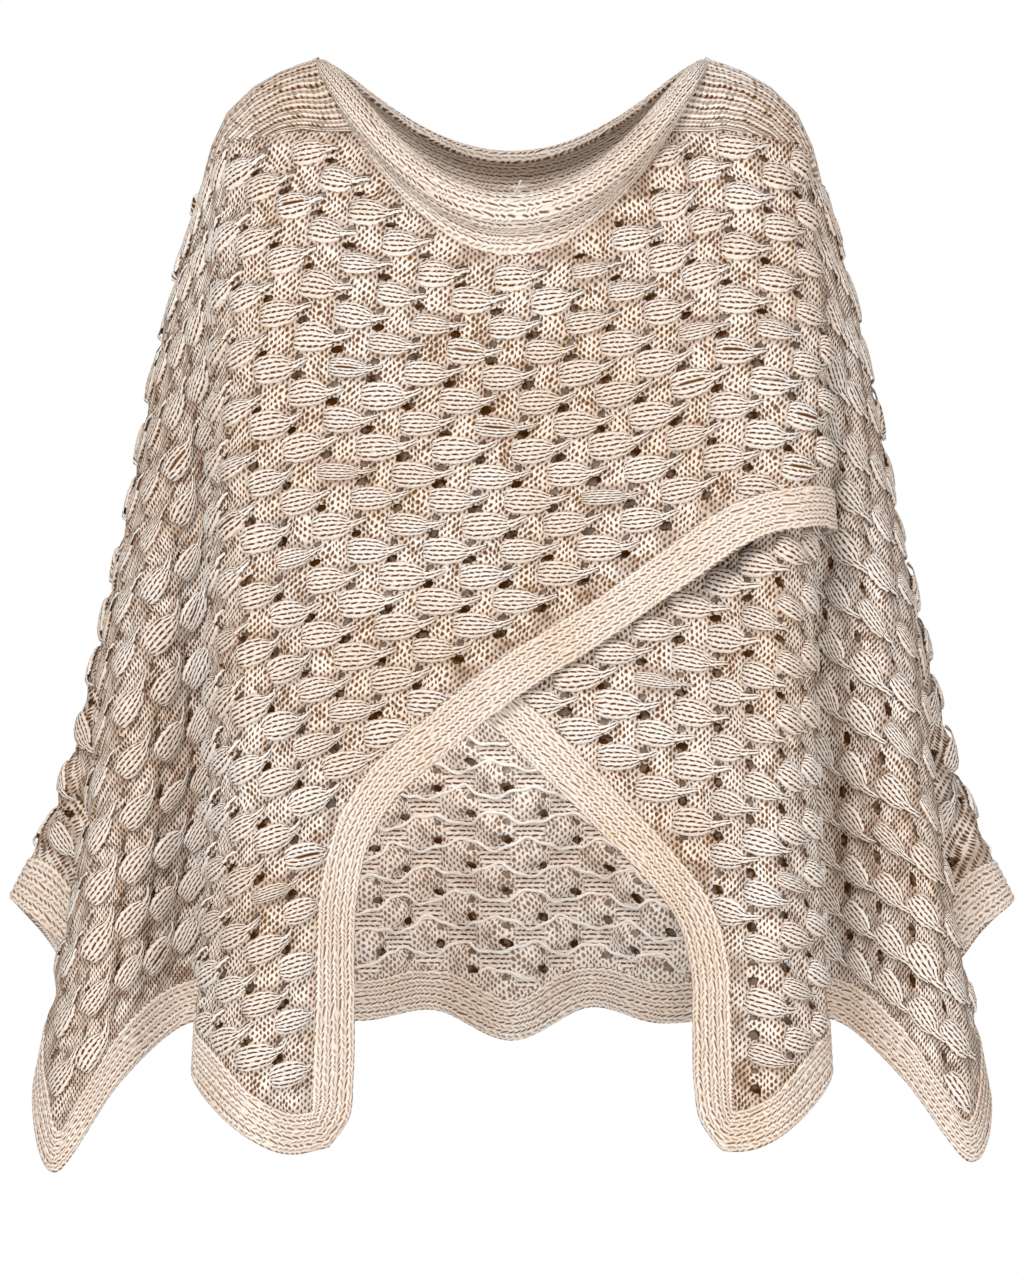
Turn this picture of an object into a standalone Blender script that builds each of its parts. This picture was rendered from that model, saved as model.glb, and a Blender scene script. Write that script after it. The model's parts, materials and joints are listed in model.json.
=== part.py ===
"""Sleeveless knitted wrap: a poncho-shaped cardigan whose two fronts cross over each other.

Worn shape with no wearer. Metres, +Z up, the front faces -Y, and the wearer's left is at +X. The origin lies
on the shoulder line, midway between the two shoulders, where the wearer carries the garment.

Each knitted panel is one wall on a lofted surface. A row of a fold table is one ridge or valley of the cloth:
it starts on the top seam and hangs down to the hem. Positions on a panel are given as (across, height):
across is measured along the cloth from its centre line, and height is the world Z.
"""

from collections import namedtuple

import bmesh
import bpy
import numpy as np

PANEL_WALL = 0.003
BAND_WALL = 0.004
SEAM_GAP = 0.0011  # between the cut edges of two pieces that are sewn together
TOP_GAP = 0.0009  # how far each of two pieces stays from a seam where they meet at an angle
SADDLE_GAP = 0.0012  # how far the saddle's front and back edges stay from their seams
BAND_WIDTH = 0.030

# Neck opening: the seam between the neckband and the body, an ellipse seen from above.
NECK_HALF_WIDTH = 0.140
NECK_FRONT_DEPTH = 0.118
NECK_BACK_DEPTH = 0.095
NECK_SIDE_HEIGHT = -0.012
NECK_FRONT_HEIGHT = -0.147
NECK_BACK_HEIGHT = -0.103

# Shoulder saddle: a strap that lies over the shoulder and ends rounded at the top of the arm.
SADDLE_HALF_DEPTH = 0.066
SADDLE_SIDE_DROP = 0.045
SADDLE_CORNER_X = 0.160  # where its straight front and back seams end and its rounded end begins
ARM_TOP_X = 0.2245
SHOULDER_LINE_X = (0.100, 0.140, 0.154, 0.168, 0.187, 0.206, 0.218, ARM_TOP_X)
SHOULDER_LINE_Z = (-0.012, -0.012, -0.0105, -0.0135, -0.0235, -0.042, -0.068, -0.096)

FRONT, BACK = -1, 1
RIGHT, LEFT = -1, 1  # the wearer's sides, as the sign of x

# Heights of the sections that every fold passes through between the top seam and the hem.
LEVELS = (-0.190, -0.310, -0.430, -0.550)

# across: distance along the cloth from the centre line at the hem.  seam: where the fold starts on the top
# seam: 0 centre of the neck, 1 corner of the saddle, 2 its rounded end, 3 top of the arm.
# yoke, chest, waist, hip: (x, y) at the four LEVELS.  hem: (x, y), with its height on each side.
Fold = namedtuple("Fold", "name across seam yoke chest waist hip hem hem_right hem_left")

FRONT_FOLDS = (
    Fold("centre", 0.000, 0.00, (0.000, -0.138), (0.000, -0.149),
         (0.000, -0.157), (0.000, -0.160), (0.000, -0.165), -0.800, -0.800),
    Fold("chest swell", 0.062, 0.50, (0.062, -0.138), (0.062, -0.152),
         (0.062, -0.161), (0.062, -0.165), (0.062, -0.170), -0.800, -0.800),
    Fold("split edge", 0.115, 0.95, (0.115, -0.135), (0.113, -0.146),
         (0.112, -0.158), (0.112, -0.163), (0.115, -0.166), -0.778, -0.780),
    Fold("chest valley", 0.150, 1.40, (0.148, -0.129), (0.146, -0.140),
         (0.144, -0.158), (0.144, -0.175), (0.150, -0.186), -0.795, -0.793),
    Fold("front ridge", 0.196, 2.15, (0.188, -0.124), (0.192, -0.154),
         (0.190, -0.180), (0.187, -0.194), (0.189, -0.203), -0.784, -0.785),
    Fold("front ridge side", 0.245, 2.50, (0.212, -0.104), (0.216, -0.122),
         (0.2165, -0.142), (0.218, -0.155), (0.2275, -0.163), -0.746, -0.746),
    Fold("deep valley", 0.320, 2.65, (0.2155, -0.084), (0.208, -0.086),
         (0.205, -0.092), (0.207, -0.098), (0.212, -0.100), -0.700, -0.698),
    Fold("valley", 0.355, 2.74, (0.226, -0.072), (0.224, -0.074),
         (0.227, -0.078), (0.230, -0.082), (0.240, -0.086), -0.706, -0.704),
    Fold("side lobe slope", 0.405, 2.82, (0.235, -0.058), (0.243, -0.074),
         (0.253, -0.090), (0.264, -0.105), (0.284, -0.117), -0.746, -0.744),
    Fold("side lobe tip", 0.455, 2.90, (0.243, -0.040), (0.259, -0.058),
         (0.277, -0.080), (0.293, -0.104), (0.329, -0.130), -0.810, -0.802),
    Fold("side lobe edge", 0.515, 2.955, (0.249, -0.020), (0.270, -0.026),
         (0.293, -0.040), (0.308, -0.060), (0.346, -0.078), -0.752, -0.760),
)
SIDE_SEAM = Fold("side seam", 0.580, 3.00, (0.251, 0.002), (0.274, 0.004),
     (0.296, 0.000), (0.304, -0.012), (0.312, -0.014), -0.672, -0.672)
BACK_FOLDS = (
    Fold("centre", 0.000, 0.00, (0.000, 0.110), (0.000, 0.124),
         (0.000, 0.136), (0.000, 0.146), (0.000, 0.152), -0.722, -0.722),
    Fold("centre ridge", 0.062, 0.55, (0.056, 0.112), (0.057, 0.131),
         (0.057, 0.150), (0.057, 0.166), (0.057, 0.182), -0.700, -0.698),
    Fold("back valley", 0.125, 1.10, (0.111, 0.108), (0.111, 0.119),
         (0.111, 0.129), (0.111, 0.136), (0.110, 0.143), -0.707, -0.709),
    Fold("back ridge", 0.192, 1.85, (0.161, 0.104), (0.164, 0.124),
         (0.166, 0.143), (0.169, 0.160), (0.173, 0.180), -0.703, -0.701),
    Fold("deep back valley", 0.270, 2.36, (0.194, 0.092), (0.200, 0.099),
         (0.209, 0.106), (0.221, 0.114), (0.234, 0.124), -0.682, -0.684),
    Fold("back lobe tip", 0.375, 2.67, (0.223, 0.076), (0.237, 0.092),
         (0.257, 0.112), (0.282, 0.134), (0.318, 0.160), -0.676, -0.674),
    Fold("back lobe side", 0.450, 2.84, (0.239, 0.052), (0.258, 0.064),
         (0.283, 0.074), (0.311, 0.084), (0.346, 0.100), -0.641, -0.640),
    Fold("rear corner", 0.525, 2.95, (0.248, 0.025), (0.273, 0.030),
         (0.301, 0.028), (0.334, 0.026), (0.364, 0.030), -0.618, -0.620),
)
# The over front's folds on the wearer's left, where it lies on the under front and turns back at its side.
OVER_FOLDS = (
    Fold("chest", 0.115, 0.95, (0.112, -0.135), (0.112, -0.149),
         (0.112, -0.158), (0.112, -0.160), (0.112, -0.165), -0.800, -0.800),
    Fold("left ridge", 0.175, 1.80, (0.172, -0.131), (0.176, -0.157),
         (0.178, -0.171), (0.178, -0.168), (0.178, -0.172), -0.800, -0.800),
    Fold("left ridge side", 0.215, 2.32, (0.206, -0.118), (0.214, -0.144),
         (0.221, -0.156), (0.222, -0.155), (0.222, -0.160), -0.800, -0.800),
    Fold("fold edge", 0.250, 2.50, (0.2245, -0.094), (0.2305, -0.116),
         (0.2395, -0.126), (0.241, -0.130), (0.241, -0.135), -0.800, -0.800),
    Fold("turned-back edge", 0.275, 2.58, (0.226, -0.080), (0.2255, -0.094),
         (0.230, -0.104), (0.230, -0.108), (0.230, -0.110), -0.800, -0.800),
)
UNDER_STEP = 0.0095  # how far behind the over front the under front hangs
UNDER_STEP_AT_SEAM = 0.0060
UNDER_LEFT_INSET = (0.008, 0.017, 0.011, 0.003)  # the same, at the four LEVELS, where it turns outwards
UNDER_EMERGES = (0.345, 0.430)  # across, where its top edge comes out beside the over front
UNDER_START = -0.172  # across, its hidden edge on the wearer's right

# Edges of the two fronts: (across, height), from the turned-back or hidden end down to the corner of the hem.
OVER_EDGE = (
    (0.275, -0.350), (0.250, -0.347), (0.215, -0.344), (0.182, -0.350), (0.126, -0.388), (0.070, -0.425),
    (0.000, -0.470), (-0.045, -0.506), (-0.082, -0.538), (-0.105, -0.572), (-0.114, -0.612), (-0.115, -0.680),
    (-0.115, -0.740), (-0.118, -0.771), (-0.132, -0.791),
)
UNDER_EDGE = (
    (UNDER_START, -0.354), (-0.120, -0.395), (-0.060, -0.447), (-0.017, -0.486), (0.049, -0.550), (0.099, -0.600),
    (0.122, -0.628), (0.131, -0.660), (0.132, -0.700), (0.132, -0.745), (0.136, -0.772), (0.147, -0.789),
)
HEM_STARTS_AT = 0.152  # across, where the hem leaves the rounded corner of either front
SPLIT_MIDDLE = -0.700  # a height at which the slanting edges have turned to hang straight down
SPLIT_BOTTOM = -0.752

# How finely the panels are faceted.
SLANT_COLUMNS = 19
SPLIT_ROWS = 4
CORNER_COLUMNS = 6  # of those, the ones of the over front that hang from its far shoulder's rounded end
HEM_COLUMNS = 21
UPPER_ROWS = 10
BACK_COLUMNS = 39
BACK_ROWS = 11
BAND_ROWS = 3
SADDLE_ROWS = 6
SADDLE_COLUMNS = 17
NECKBAND_TURNS = 19
KNEE = 0.8  # share of a panel's length above its last, closer rows
CORNER_PICKS = 5
CORNER_FAN = 0.014  # height of the band's inner edge that its rounded corner fans out from
EDGE_SAMPLES, HEM_SAMPLES = 900, 300  # of the fine outlines that the facets are picked from
MOST_SLANT = 1.45  # the most that a steep hem widens its band's height

# Neckband profiles, from its seam up: (outwards, up).
FRONT_ROLL = (
    (0.0000, 0.0000), (0.0005, 0.0080), (0.0040, 0.0160), (0.0110, 0.0210), (0.0150, 0.0290),
    (0.0100, 0.0380), (-0.0010, 0.0410), (-0.0110, 0.0370), (-0.0160, 0.0280),
)
BACK_STAND = (
    (0.0000, 0.0000), (0.0025, 0.0060), (0.0035, 0.0130), (0.0030, 0.0190), (0.0010, 0.0250),
    (-0.0025, 0.0305), (-0.0075, 0.0335), (-0.0125, 0.0320), (-0.0150, 0.0270),
)
BAND_LIFT = 0.0010  # clearance of the neckband over the edge that it is sewn to, at the middle
BAND_LIFT_SHOULDER = 0.0030  # and over the saddle, which lies flat under it
SHOULDER_ROLL = 0.24  # share of the profile's size that is left where the band crosses the shoulder

PANEL_COLOUR = (0.58, 0.49, 0.41, 1.0)
RIB_COLOUR = (0.60, 0.51, 0.43, 1.0)
KNIT_ROUGHNESS = 0.9


def smooth_curve(knots, values, at):
    """Values on a smooth curve through (knots, values) at each number of at. Knots may differ per column."""
    knots = np.asarray(knots, float)
    values = np.asarray(values, float)
    at = np.atleast_1d(np.asarray(at, float))
    if knots.ndim == 1:
        knots = np.repeat(knots[:, None], len(at), axis=1)
        values = np.repeat(values[:, None], len(at), axis=1)
    gaps = np.diff(knots, axis=0)
    slopes = np.diff(values, axis=0) / gaps[..., None]
    tangents = np.concatenate([slopes[:1], slopes, slopes[-1:]])[:-1].copy()
    before, after = gaps[:-1, :, None], gaps[1:, :, None]
    tangents[1:-1] = (slopes[:-1] * after + slopes[1:] * before) / (before + after)
    tangents[-1] = slopes[-1]
    segment = np.clip((knots <= at).sum(axis=0) - 1, 0, len(knots) - 2)
    column = np.arange(len(at))
    gap = gaps[segment, column]
    share = (at - knots[segment, column]) / gap
    share, gap = share[:, None], gap[:, None]
    start, end = values[segment, column], values[segment + 1, column]
    start_slope, end_slope = tangents[segment, column], tangents[segment + 1, column]
    return (
        start * (2 * share**3 - 3 * share**2 + 1)
        + start_slope * gap * (share**3 - 2 * share**2 + share)
        + end * (3 * share**2 - 2 * share**3)
        + end_slope * gap * (share**3 - share**2)
    )


def neck_depth(face):
    return NECK_FRONT_DEPTH if face == FRONT else NECK_BACK_DEPTH


def neck_seam(turn, face):
    """The seam under the neckband, at turn radians from the wearer's left shoulder towards the face."""
    centre_height = NECK_FRONT_HEIGHT if face == FRONT else NECK_BACK_HEIGHT
    toward = np.sin(turn)
    return np.array([
        NECK_HALF_WIDTH * np.cos(turn),
        face * neck_depth(face) * toward,
        NECK_SIDE_HEIGHT + (centre_height - NECK_SIDE_HEIGHT) * toward**2,
    ])


def saddle_point(along, turn, side):
    """along: 0 at the neck, 1 at the arm. turn: -pi/2 on the front seam, 0 on the shoulder line."""
    q = np.sin(turn)
    y = SADDLE_HALF_DEPTH * q
    depth = neck_depth(FRONT if q < 0 else BACK)
    neck_x = NECK_HALF_WIDTH * np.sqrt(1 - (y / depth) ** 2)
    arm_x = SADDLE_CORNER_X + (ARM_TOP_X - SADDLE_CORNER_X) * np.cos(turn)
    x = neck_x + (arm_x - neck_x) * along
    z = np.interp(x, SHOULDER_LINE_X, SHOULDER_LINE_Z) - SADDLE_SIDE_DROP * q * q
    return np.array([side * x, y, z])


def top_seam(seam, side, face):
    """The edge that a panel hangs from, by the fold tables' seam values."""
    if seam > 2:
        return saddle_point(1.0, face * (3 - seam) * np.pi / 2, side)
    if seam > 1:
        return saddle_point(seam - 1, face * np.pi / 2, side)
    corner_turn = np.arcsin(SADDLE_HALF_DEPTH / neck_depth(face))
    across = seam * np.cos(corner_turn)
    point = neck_seam(np.arccos(across), face)
    return point * (side, 1, 1)


class Drape:
    """A panel's surface, lofted through folds. Each row: (across, seam, side, face, four level points, hem)."""

    def __init__(self, rows):
        rows = sorted(rows, key=lambda row: row[0])
        self.across = np.array([row[0] for row in rows])
        self.seams = np.array([row[1] * row[2] for row in rows])
        self.face = rows[len(rows) // 2][3]
        levels = [[(x, y, z) for (x, y), z in zip(row[4], LEVELS)] for row in rows]
        self.points = np.array([level + [row[5]] for level, row in zip(levels, rows)])
        self.top_step = 0.0

    def top(self, across):
        """The point of the top seam over each value of across."""
        signed = np.interp(across, self.across, self.seams)
        beyond = np.abs(signed) > 3
        inside = np.where(beyond, np.sign(signed) * 6 - signed, signed)
        faces = np.where(beyond, -self.face, self.face)
        points = np.array([
            top_seam(min(abs(s), 3), 1 if s >= 0 else -1, int(f)) for s, f in zip(inside, faces)
        ])
        return points + self.step_in(points, across)

    def step_in(self, points, across):
        """How far the top edge is moved towards the shoulder, where this panel lies under another."""
        step = self.top_step * np.interp(across, UNDER_EMERGES, (1.0, 0.0))
        shoulder = points * (1, 0, 1)
        shoulder[:, 0] = np.clip(shoulder[:, 0], -0.150, 0.150)
        shoulder[:, 2] -= 0.030
        inward = shoulder - points
        return inward / np.linalg.norm(inward, axis=1)[:, None] * step[:, None]

    def knots(self, across):
        """The points that each column passes through, from the top seam to the hem."""
        below = smooth_curve(self.across, self.points.reshape(len(self.across), -1), across)
        return np.concatenate([self.top(across)[None], below.reshape(len(across), -1, 3).swapaxes(0, 1)])

    def point(self, across, height):
        """Surface points at arrays of across and height."""
        across = np.atleast_1d(np.asarray(across, float))
        height = np.broadcast_to(np.asarray(height, float), across.shape)
        knots = self.knots(across)
        plan = smooth_curve(-knots[..., 2], knots[..., :2], -height)
        return np.column_stack([plan, height])

    def normal(self, across, height):
        """Unit normals that point away from the wearer."""
        step = 0.0008
        across = np.clip(across, self.across[0] + step, self.across[-1] - step)
        along = self.point(across + step, height) - self.point(across - step, height)
        up = self.point(across, height + step) - self.point(across, height - step)
        found = np.cross(along, up) * (-self.face)
        return found / np.linalg.norm(found, axis=1)[:, None]

    def saddle_corner(self, side):
        """The value of across whose fold starts where the saddle's rounded end begins."""
        return np.interp(2 * side, self.seams, self.across)

    def hem(self, across):
        return smooth_curve(self.across, self.points[:, -1, 2:], across)[:, 0]


def fold_row(fold, side, face, across_offset=0.0):
    """A fold on one side of the body, as a row of a Drape."""
    hem_height = fold.hem_right if side == RIGHT else fold.hem_left
    across = side * (fold.across + across_offset)
    levels = [(side * x, y) for x, y in (fold.yoke, fold.chest, fold.waist, fold.hip)]
    return (across, fold.seam, side, face, levels, (side * fold.hem[0], fold.hem[1], hem_height))


def beyond_seam(fold, side, face):
    """The first fold of the neighbouring panel past the side seam, so that both panels meet smoothly."""
    across, _, _, _, levels, hem = fold_row(fold, side, face)
    mirrored = side * (2 * SIDE_SEAM.across - abs(across))
    return (mirrored, 6 - fold.seam, side, face, levels, hem)


def moved_in(row, steps):
    """The row with each of its points moved back by the steps: one for each level, and one for the hem."""
    across, seam, side, face, levels, hem = row
    levels = [(x, y + step) for (x, y), step in zip(levels, steps)]
    return (across, seam, side, face, levels, (hem[0], hem[1] + steps[-1], hem[2]))


def over_front_drape():
    rows = [fold_row(fold, RIGHT, FRONT) for fold in FRONT_FOLDS[1:]]
    rows += [fold_row(SIDE_SEAM, RIGHT, FRONT), beyond_seam(BACK_FOLDS[-1], RIGHT, FRONT)]
    rows += [fold_row(fold, LEFT, FRONT) for fold in (FRONT_FOLDS[0], FRONT_FOLDS[1]) + OVER_FOLDS]
    return Drape(rows)


def under_front_drape():
    hidden = [fold_row(fold, RIGHT, FRONT) for fold in FRONT_FOLDS[1:5]]
    hidden += [fold_row(fold, LEFT, FRONT) for fold in FRONT_FOLDS[:2]]
    rows = [moved_in(row, [UNDER_STEP] * 5) for row in hidden]
    for fold in FRONT_FOLDS[2:]:
        steps = UNDER_LEFT_INSET + (0.0,) if fold.across < 0.3 else (0.0,) * 5
        rows.append(moved_in(fold_row(fold, LEFT, FRONT), steps))
    rows += [fold_row(SIDE_SEAM, LEFT, FRONT), beyond_seam(BACK_FOLDS[-1], LEFT, FRONT)]
    drape = Drape(rows)
    drape.top_step = UNDER_STEP_AT_SEAM
    return drape


def back_drape():
    rows = [fold_row(BACK_FOLDS[0], LEFT, BACK)]
    for side in (RIGHT, LEFT):
        rows += [fold_row(fold, side, BACK) for fold in BACK_FOLDS[1:]]
        rows += [fold_row(SIDE_SEAM, side, BACK), beyond_seam(FRONT_FOLDS[-1], side, BACK)]
    return Drape(rows)


def offset_line(line, distance):
    """The line of (across, height) points moved sideways, to its left as it runs."""
    run = np.gradient(line, axis=0)
    run /= np.linalg.norm(run, axis=1)[:, None]
    return line + distance * np.column_stack([-run[:, 1], run[:, 0]])


def even_picks(line, breaks, counts):
    """Numbers of points of a fine line: counts of them, evenly spaced, in each stretch between the breaks."""
    reach = np.concatenate([[0], np.cumsum(np.linalg.norm(np.diff(line, axis=0), axis=1))])
    picks = [breaks[0]]
    for start, end, count in zip(breaks, breaks[1:], counts):
        even = np.linspace(reach[start], reach[end], count + 1)[1:]
        picks += [int(number) for number in np.searchsorted(reach, even - 1e-9)]
    return np.array(picks)


def snap_nearest(values, target):
    """Moves the nearest of the values onto the target."""
    values[np.argmin(np.abs(values - target))] = target


def front_outline(edge, drape, side):
    """A front's outer edge as a fine line: slanting edge, split, corner, and the hem to the side seam."""
    hem_across = side * np.linspace(HEM_STARTS_AT, SIDE_SEAM.across, HEM_SAMPLES)
    hem = np.column_stack([hem_across, drape.hem(hem_across)])
    corners = np.array(edge)
    chord = np.concatenate([[0], np.cumsum(np.linalg.norm(np.diff(corners, axis=0), axis=1))])
    return np.vstack([smooth_curve(chord, corners, np.linspace(0, chord[-1], EDGE_SAMPLES)), hem])


def above_hem(across, drape):
    """The line where the hem band meets its panel, straight above the hem, at each value of across."""
    hem = drape.hem(across)
    slope = np.gradient(hem, across)
    return hem + BAND_WIDTH * np.minimum(np.hypot(1, slope), MOST_SLANT)


def front_lines(edge, drape, side):
    """A front's outline, the line where its band meets the panel, point for point, and the panel's three edges.

    The line runs along the slanting edge, straight down the split to a square corner, and along the hem.
    """
    outline = front_outline(edge, drape, side)
    sideways = offset_line(outline, side * BAND_WIDTH)
    turned = int(np.argmax(outline[:, 1] < SPLIT_BOTTOM))
    split = sideways[int(np.argmax(outline[:, 1] < SPLIT_MIDDLE)), 0]
    hem_across = np.linspace(split, side * SIDE_SEAM.across, HEM_COLUMNS + 1)
    snap_nearest(hem_across, drape.saddle_corner(side))
    hem_inner = above_hem(hem_across, drape)
    corner = hem_inner[0]

    top = drape.top(hem_across[:1])[0, 2]
    hanging = int(np.argmax(outline[:, 1] < top + (corner - top) * KNEE))
    fan = int(np.argmax(outline[:, 1] < corner + CORNER_FAN))
    last = turned + int(np.argmax(side * outline[turned:, 0] > side * split))
    over_corner = int(np.argmax(side * sideways[:, 0] > side * drape.saddle_corner(-side)))
    slant_breaks, slant_counts = (0, over_corner, hanging), (CORNER_COLUMNS, SLANT_COLUMNS - CORNER_COLUMNS)
    if over_corner == 0:
        slant_breaks, slant_counts = (0, hanging), (SLANT_COLUMNS,)
    slant = even_picks(outline, slant_breaks, slant_counts)
    fall = even_picks(outline, (hanging, fan), (SPLIT_ROWS - 1,))
    round_corner = even_picks(outline, (fan, last), (CORNER_PICKS,))[1:-1]

    hem_outer = np.column_stack([hem_across, drape.hem(hem_across)])
    hem_line = np.column_stack([hem_across, hem_inner])
    down = np.column_stack([np.full(len(fall), split), outline[fall, 1]])
    gather = np.linspace(corner + CORNER_FAN, corner, CORNER_PICKS + 1)[1:-1]
    gather = np.column_stack([np.full(len(gather), split), gather])
    slanting = sideways[slant[:-1]]
    outer = np.vstack([outline[slant[:-1]], outline[fall], outline[round_corner], hem_outer])
    inner = np.vstack([slanting, down, gather, hem_line])
    return outer, inner, slanting, np.vstack([down, hem_line[:1]]), hem_line


def row_shares():
    """How far down each row of a panel lies, closer together beside the split."""
    return np.linspace(0, KNEE, UPPER_ROWS), np.linspace(KNEE, 1, SPLIT_ROWS + 1)


def make_object(name, points, faces, material):
    """A mesh object from a closed surface whose faces all turn the same way, made to point outwards."""
    mesh = bpy.data.meshes.new(name)
    mesh.from_pydata(points.tolist(), [], faces)
    made = bmesh.new()
    made.from_mesh(mesh)
    if made.calc_volume(signed=True) < 0:
        bmesh.ops.reverse_faces(made, faces=made.faces)
    made.to_mesh(mesh)
    made.free()
    mesh.materials.append(material)
    mesh.shade_smooth()
    thing = bpy.data.objects.new(name, mesh)
    bpy.context.collection.objects.link(thing)
    return thing


def thick_sheet(name, points, normals, quads, wall, material):
    """A closed wall on both sides of the quads."""
    count = len(points)
    shell = np.vstack([points + normals * wall / 2, points - normals * wall / 2])
    faces = [list(quad) for quad in quads]
    faces += [[corner + count for corner in reversed(quad)] for quad in quads]
    uses = {}
    for quad in quads:
        for a, b in zip(quad, quad[1:] + quad[:1]):
            uses.setdefault(frozenset((a, b)), []).append((a, b))
    rim = [edges[0] for edges in uses.values() if len(edges) == 1]
    faces += [[b, a, a + count, b + count] for a, b in rim]
    return make_object(name, shell, faces, material)


def grid_quads(index):
    """Quads of a grid of point numbers, leaving out those with a corner of -1."""
    quads = []
    for row in range(index.shape[0] - 1):
        for column in range(index.shape[1] - 1):
            quad = (index[row, column], index[row + 1, column],
                    index[row + 1, column + 1], index[row, column + 1])
            if min(quad) >= 0:
                quads.append(tuple(int(corner) for corner in quad))
    return quads


def pulled_in(grid, first_row=0.0, last_row=0.0, first_column=0.0, last_column=0.0):
    """The grid of points with its edges moved inwards by these distances."""
    def toward(edge, inner, distance):
        way = inner - edge
        return edge + way / np.linalg.norm(way, axis=-1, keepdims=True) * distance

    grid = grid.copy()
    grid[0] = toward(grid[0], grid[1], first_row)
    grid[-1] = toward(grid[-1], grid[-2], last_row)
    grid[:, 0] = toward(grid[:, 0], grid[:, 1], first_column)
    grid[:, -1] = toward(grid[:, -1], grid[:, -2], last_column)
    return grid


def surface_grid(drape, across, heights):
    """Points and normals on a drape, for 2-D arrays of across and height."""
    flat = across.ravel()
    points = drape.point(flat, heights.ravel())
    normals = drape.normal(flat, heights.ravel())
    return points.reshape(across.shape + (3,)), normals.reshape(across.shape + (3,))


def columns_down(drape, across, end, shares):
    """Arrays of across and height, with a column at each value of across from the top seam to its end."""
    start = drape.top(across)[:, 2]
    heights = start + (end - start) * shares[:, None]
    return np.repeat(across[None], len(shares), axis=0), heights


def make_back_panel(drape, inner, material):
    upper, lower = row_shares()
    grid_across, heights = columns_down(drape, inner[:, 0], inner[:, 1], np.concatenate([upper, lower[1:]]))
    points, normals = surface_grid(drape, grid_across, heights)
    points = pulled_in(points, TOP_GAP, SEAM_GAP / 2, SEAM_GAP / 2, SEAM_GAP / 2)
    add_grid("back_panel", points, normals, PANEL_WALL, material)


def make_front(name, drape, slanting, split, hem, material):
    """A front panel. Its columns end on the slanting edge up to the split, and past it on the hem."""
    upper, lower = row_shares()
    slant_across, slant_heights = columns_down(drape, slanting[:, 0], slanting[:, 1], upper / KNEE)
    hem_across, hem_heights = columns_down(drape, hem[:, 0], hem[:, 1], np.concatenate([upper, lower[1:]]))
    hem_heights[UPPER_ROWS - 1:, 0] = split[:, 1]

    slant_points, slant_normals = surface_grid(drape, slant_across, slant_heights)
    hem_points, hem_normals = surface_grid(drape, hem_across, hem_heights)
    slant_points = pulled_in(slant_points, TOP_GAP, SEAM_GAP / 2, 0.0, 0.0)
    whole = pulled_in(hem_points, TOP_GAP, SEAM_GAP / 2, 0.0, SEAM_GAP / 2)
    beside_split = pulled_in(hem_points, 0.0, SEAM_GAP / 2, SEAM_GAP / 2, SEAM_GAP / 2)
    whole[UPPER_ROWS - 1:, 0] = beside_split[UPPER_ROWS - 1:, 0]

    slant_index = np.arange(slant_points[..., 0].size).reshape(slant_points.shape[:2])
    hem_index = slant_index.size + np.arange(whole[..., 0].size).reshape(whole.shape[:2])
    joined = np.column_stack([slant_index, hem_index[:UPPER_ROWS, 0]])
    points = np.vstack([slant_points.reshape(-1, 3), whole.reshape(-1, 3)])
    normals = np.vstack([slant_normals.reshape(-1, 3), hem_normals.reshape(-1, 3)])
    thick_sheet(name, points, normals, grid_quads(joined) + grid_quads(hem_index), PANEL_WALL, material)


def make_band(name, drape, outline, inner, first_gap, last_gap, material):
    """A ribbed band between an outline and the line where it meets the panel."""
    share = np.linspace(0, 1, BAND_ROWS)[:, None]
    across = outline[:, 0] + (inner[:, 0] - outline[:, 0]) * share
    heights = outline[:, 1] + (inner[:, 1] - outline[:, 1]) * share
    points, normals = surface_grid(drape, across, heights)
    points = pulled_in(points, 0.0, SEAM_GAP / 2, first_gap, last_gap)
    add_grid(name, points, normals, BAND_WALL, material)


def make_front_pieces(name, drape, edge, side, materials):
    outer, inner, slanting, split, hem = front_lines(edge, drape, side)
    make_front(name, drape, slanting, split, hem, materials[name])
    make_band(name + "_band", drape, outer, inner, 0.0, SEAM_GAP / 2, materials[name + "_band"])


def make_back_pieces(drape, materials):
    across = np.linspace(-SIDE_SEAM.across, SIDE_SEAM.across, BACK_COLUMNS)
    snap_nearest(across, drape.saddle_corner(RIGHT))
    snap_nearest(across, drape.saddle_corner(LEFT))
    outer = np.column_stack([across, drape.hem(across)])
    inner = np.column_stack([across, above_hem(across, drape)])
    make_back_panel(drape, inner, materials["back_panel"])
    make_band("back_hem_band", drape, outer, inner, SEAM_GAP / 2, SEAM_GAP / 2, materials["back_hem_band"])


def make_saddle(name, side, material):
    """The ribbed strap over one shoulder."""
    along = np.linspace(0, 1, SADDLE_ROWS)
    turns = np.linspace(-np.pi / 2, np.pi / 2, SADDLE_COLUMNS)
    points = np.array([[saddle_point(a, t, side) for t in turns] for a in along])
    step = 0.004
    inside = np.clip(along, step, 1 - step)
    inside_turns = np.clip(turns, turns[0] + 10 * step, turns[-1] - 10 * step)
    run = np.array([[saddle_point(a + step, t, side) - saddle_point(a - step, t, side) for t in inside_turns]
                    for a in inside])
    width = np.array([[saddle_point(a, t + step, side) - saddle_point(a, t - step, side) for t in inside_turns]
                      for a in inside])
    normals = np.cross(run, width) * side
    normals /= np.linalg.norm(normals, axis=-1, keepdims=True)
    points = pulled_in(points, TOP_GAP, TOP_GAP)
    points[..., 1] *= 1 - SADDLE_GAP / SADDLE_HALF_DEPTH
    add_grid(name, points, normals, PANEL_WALL, material)


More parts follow.
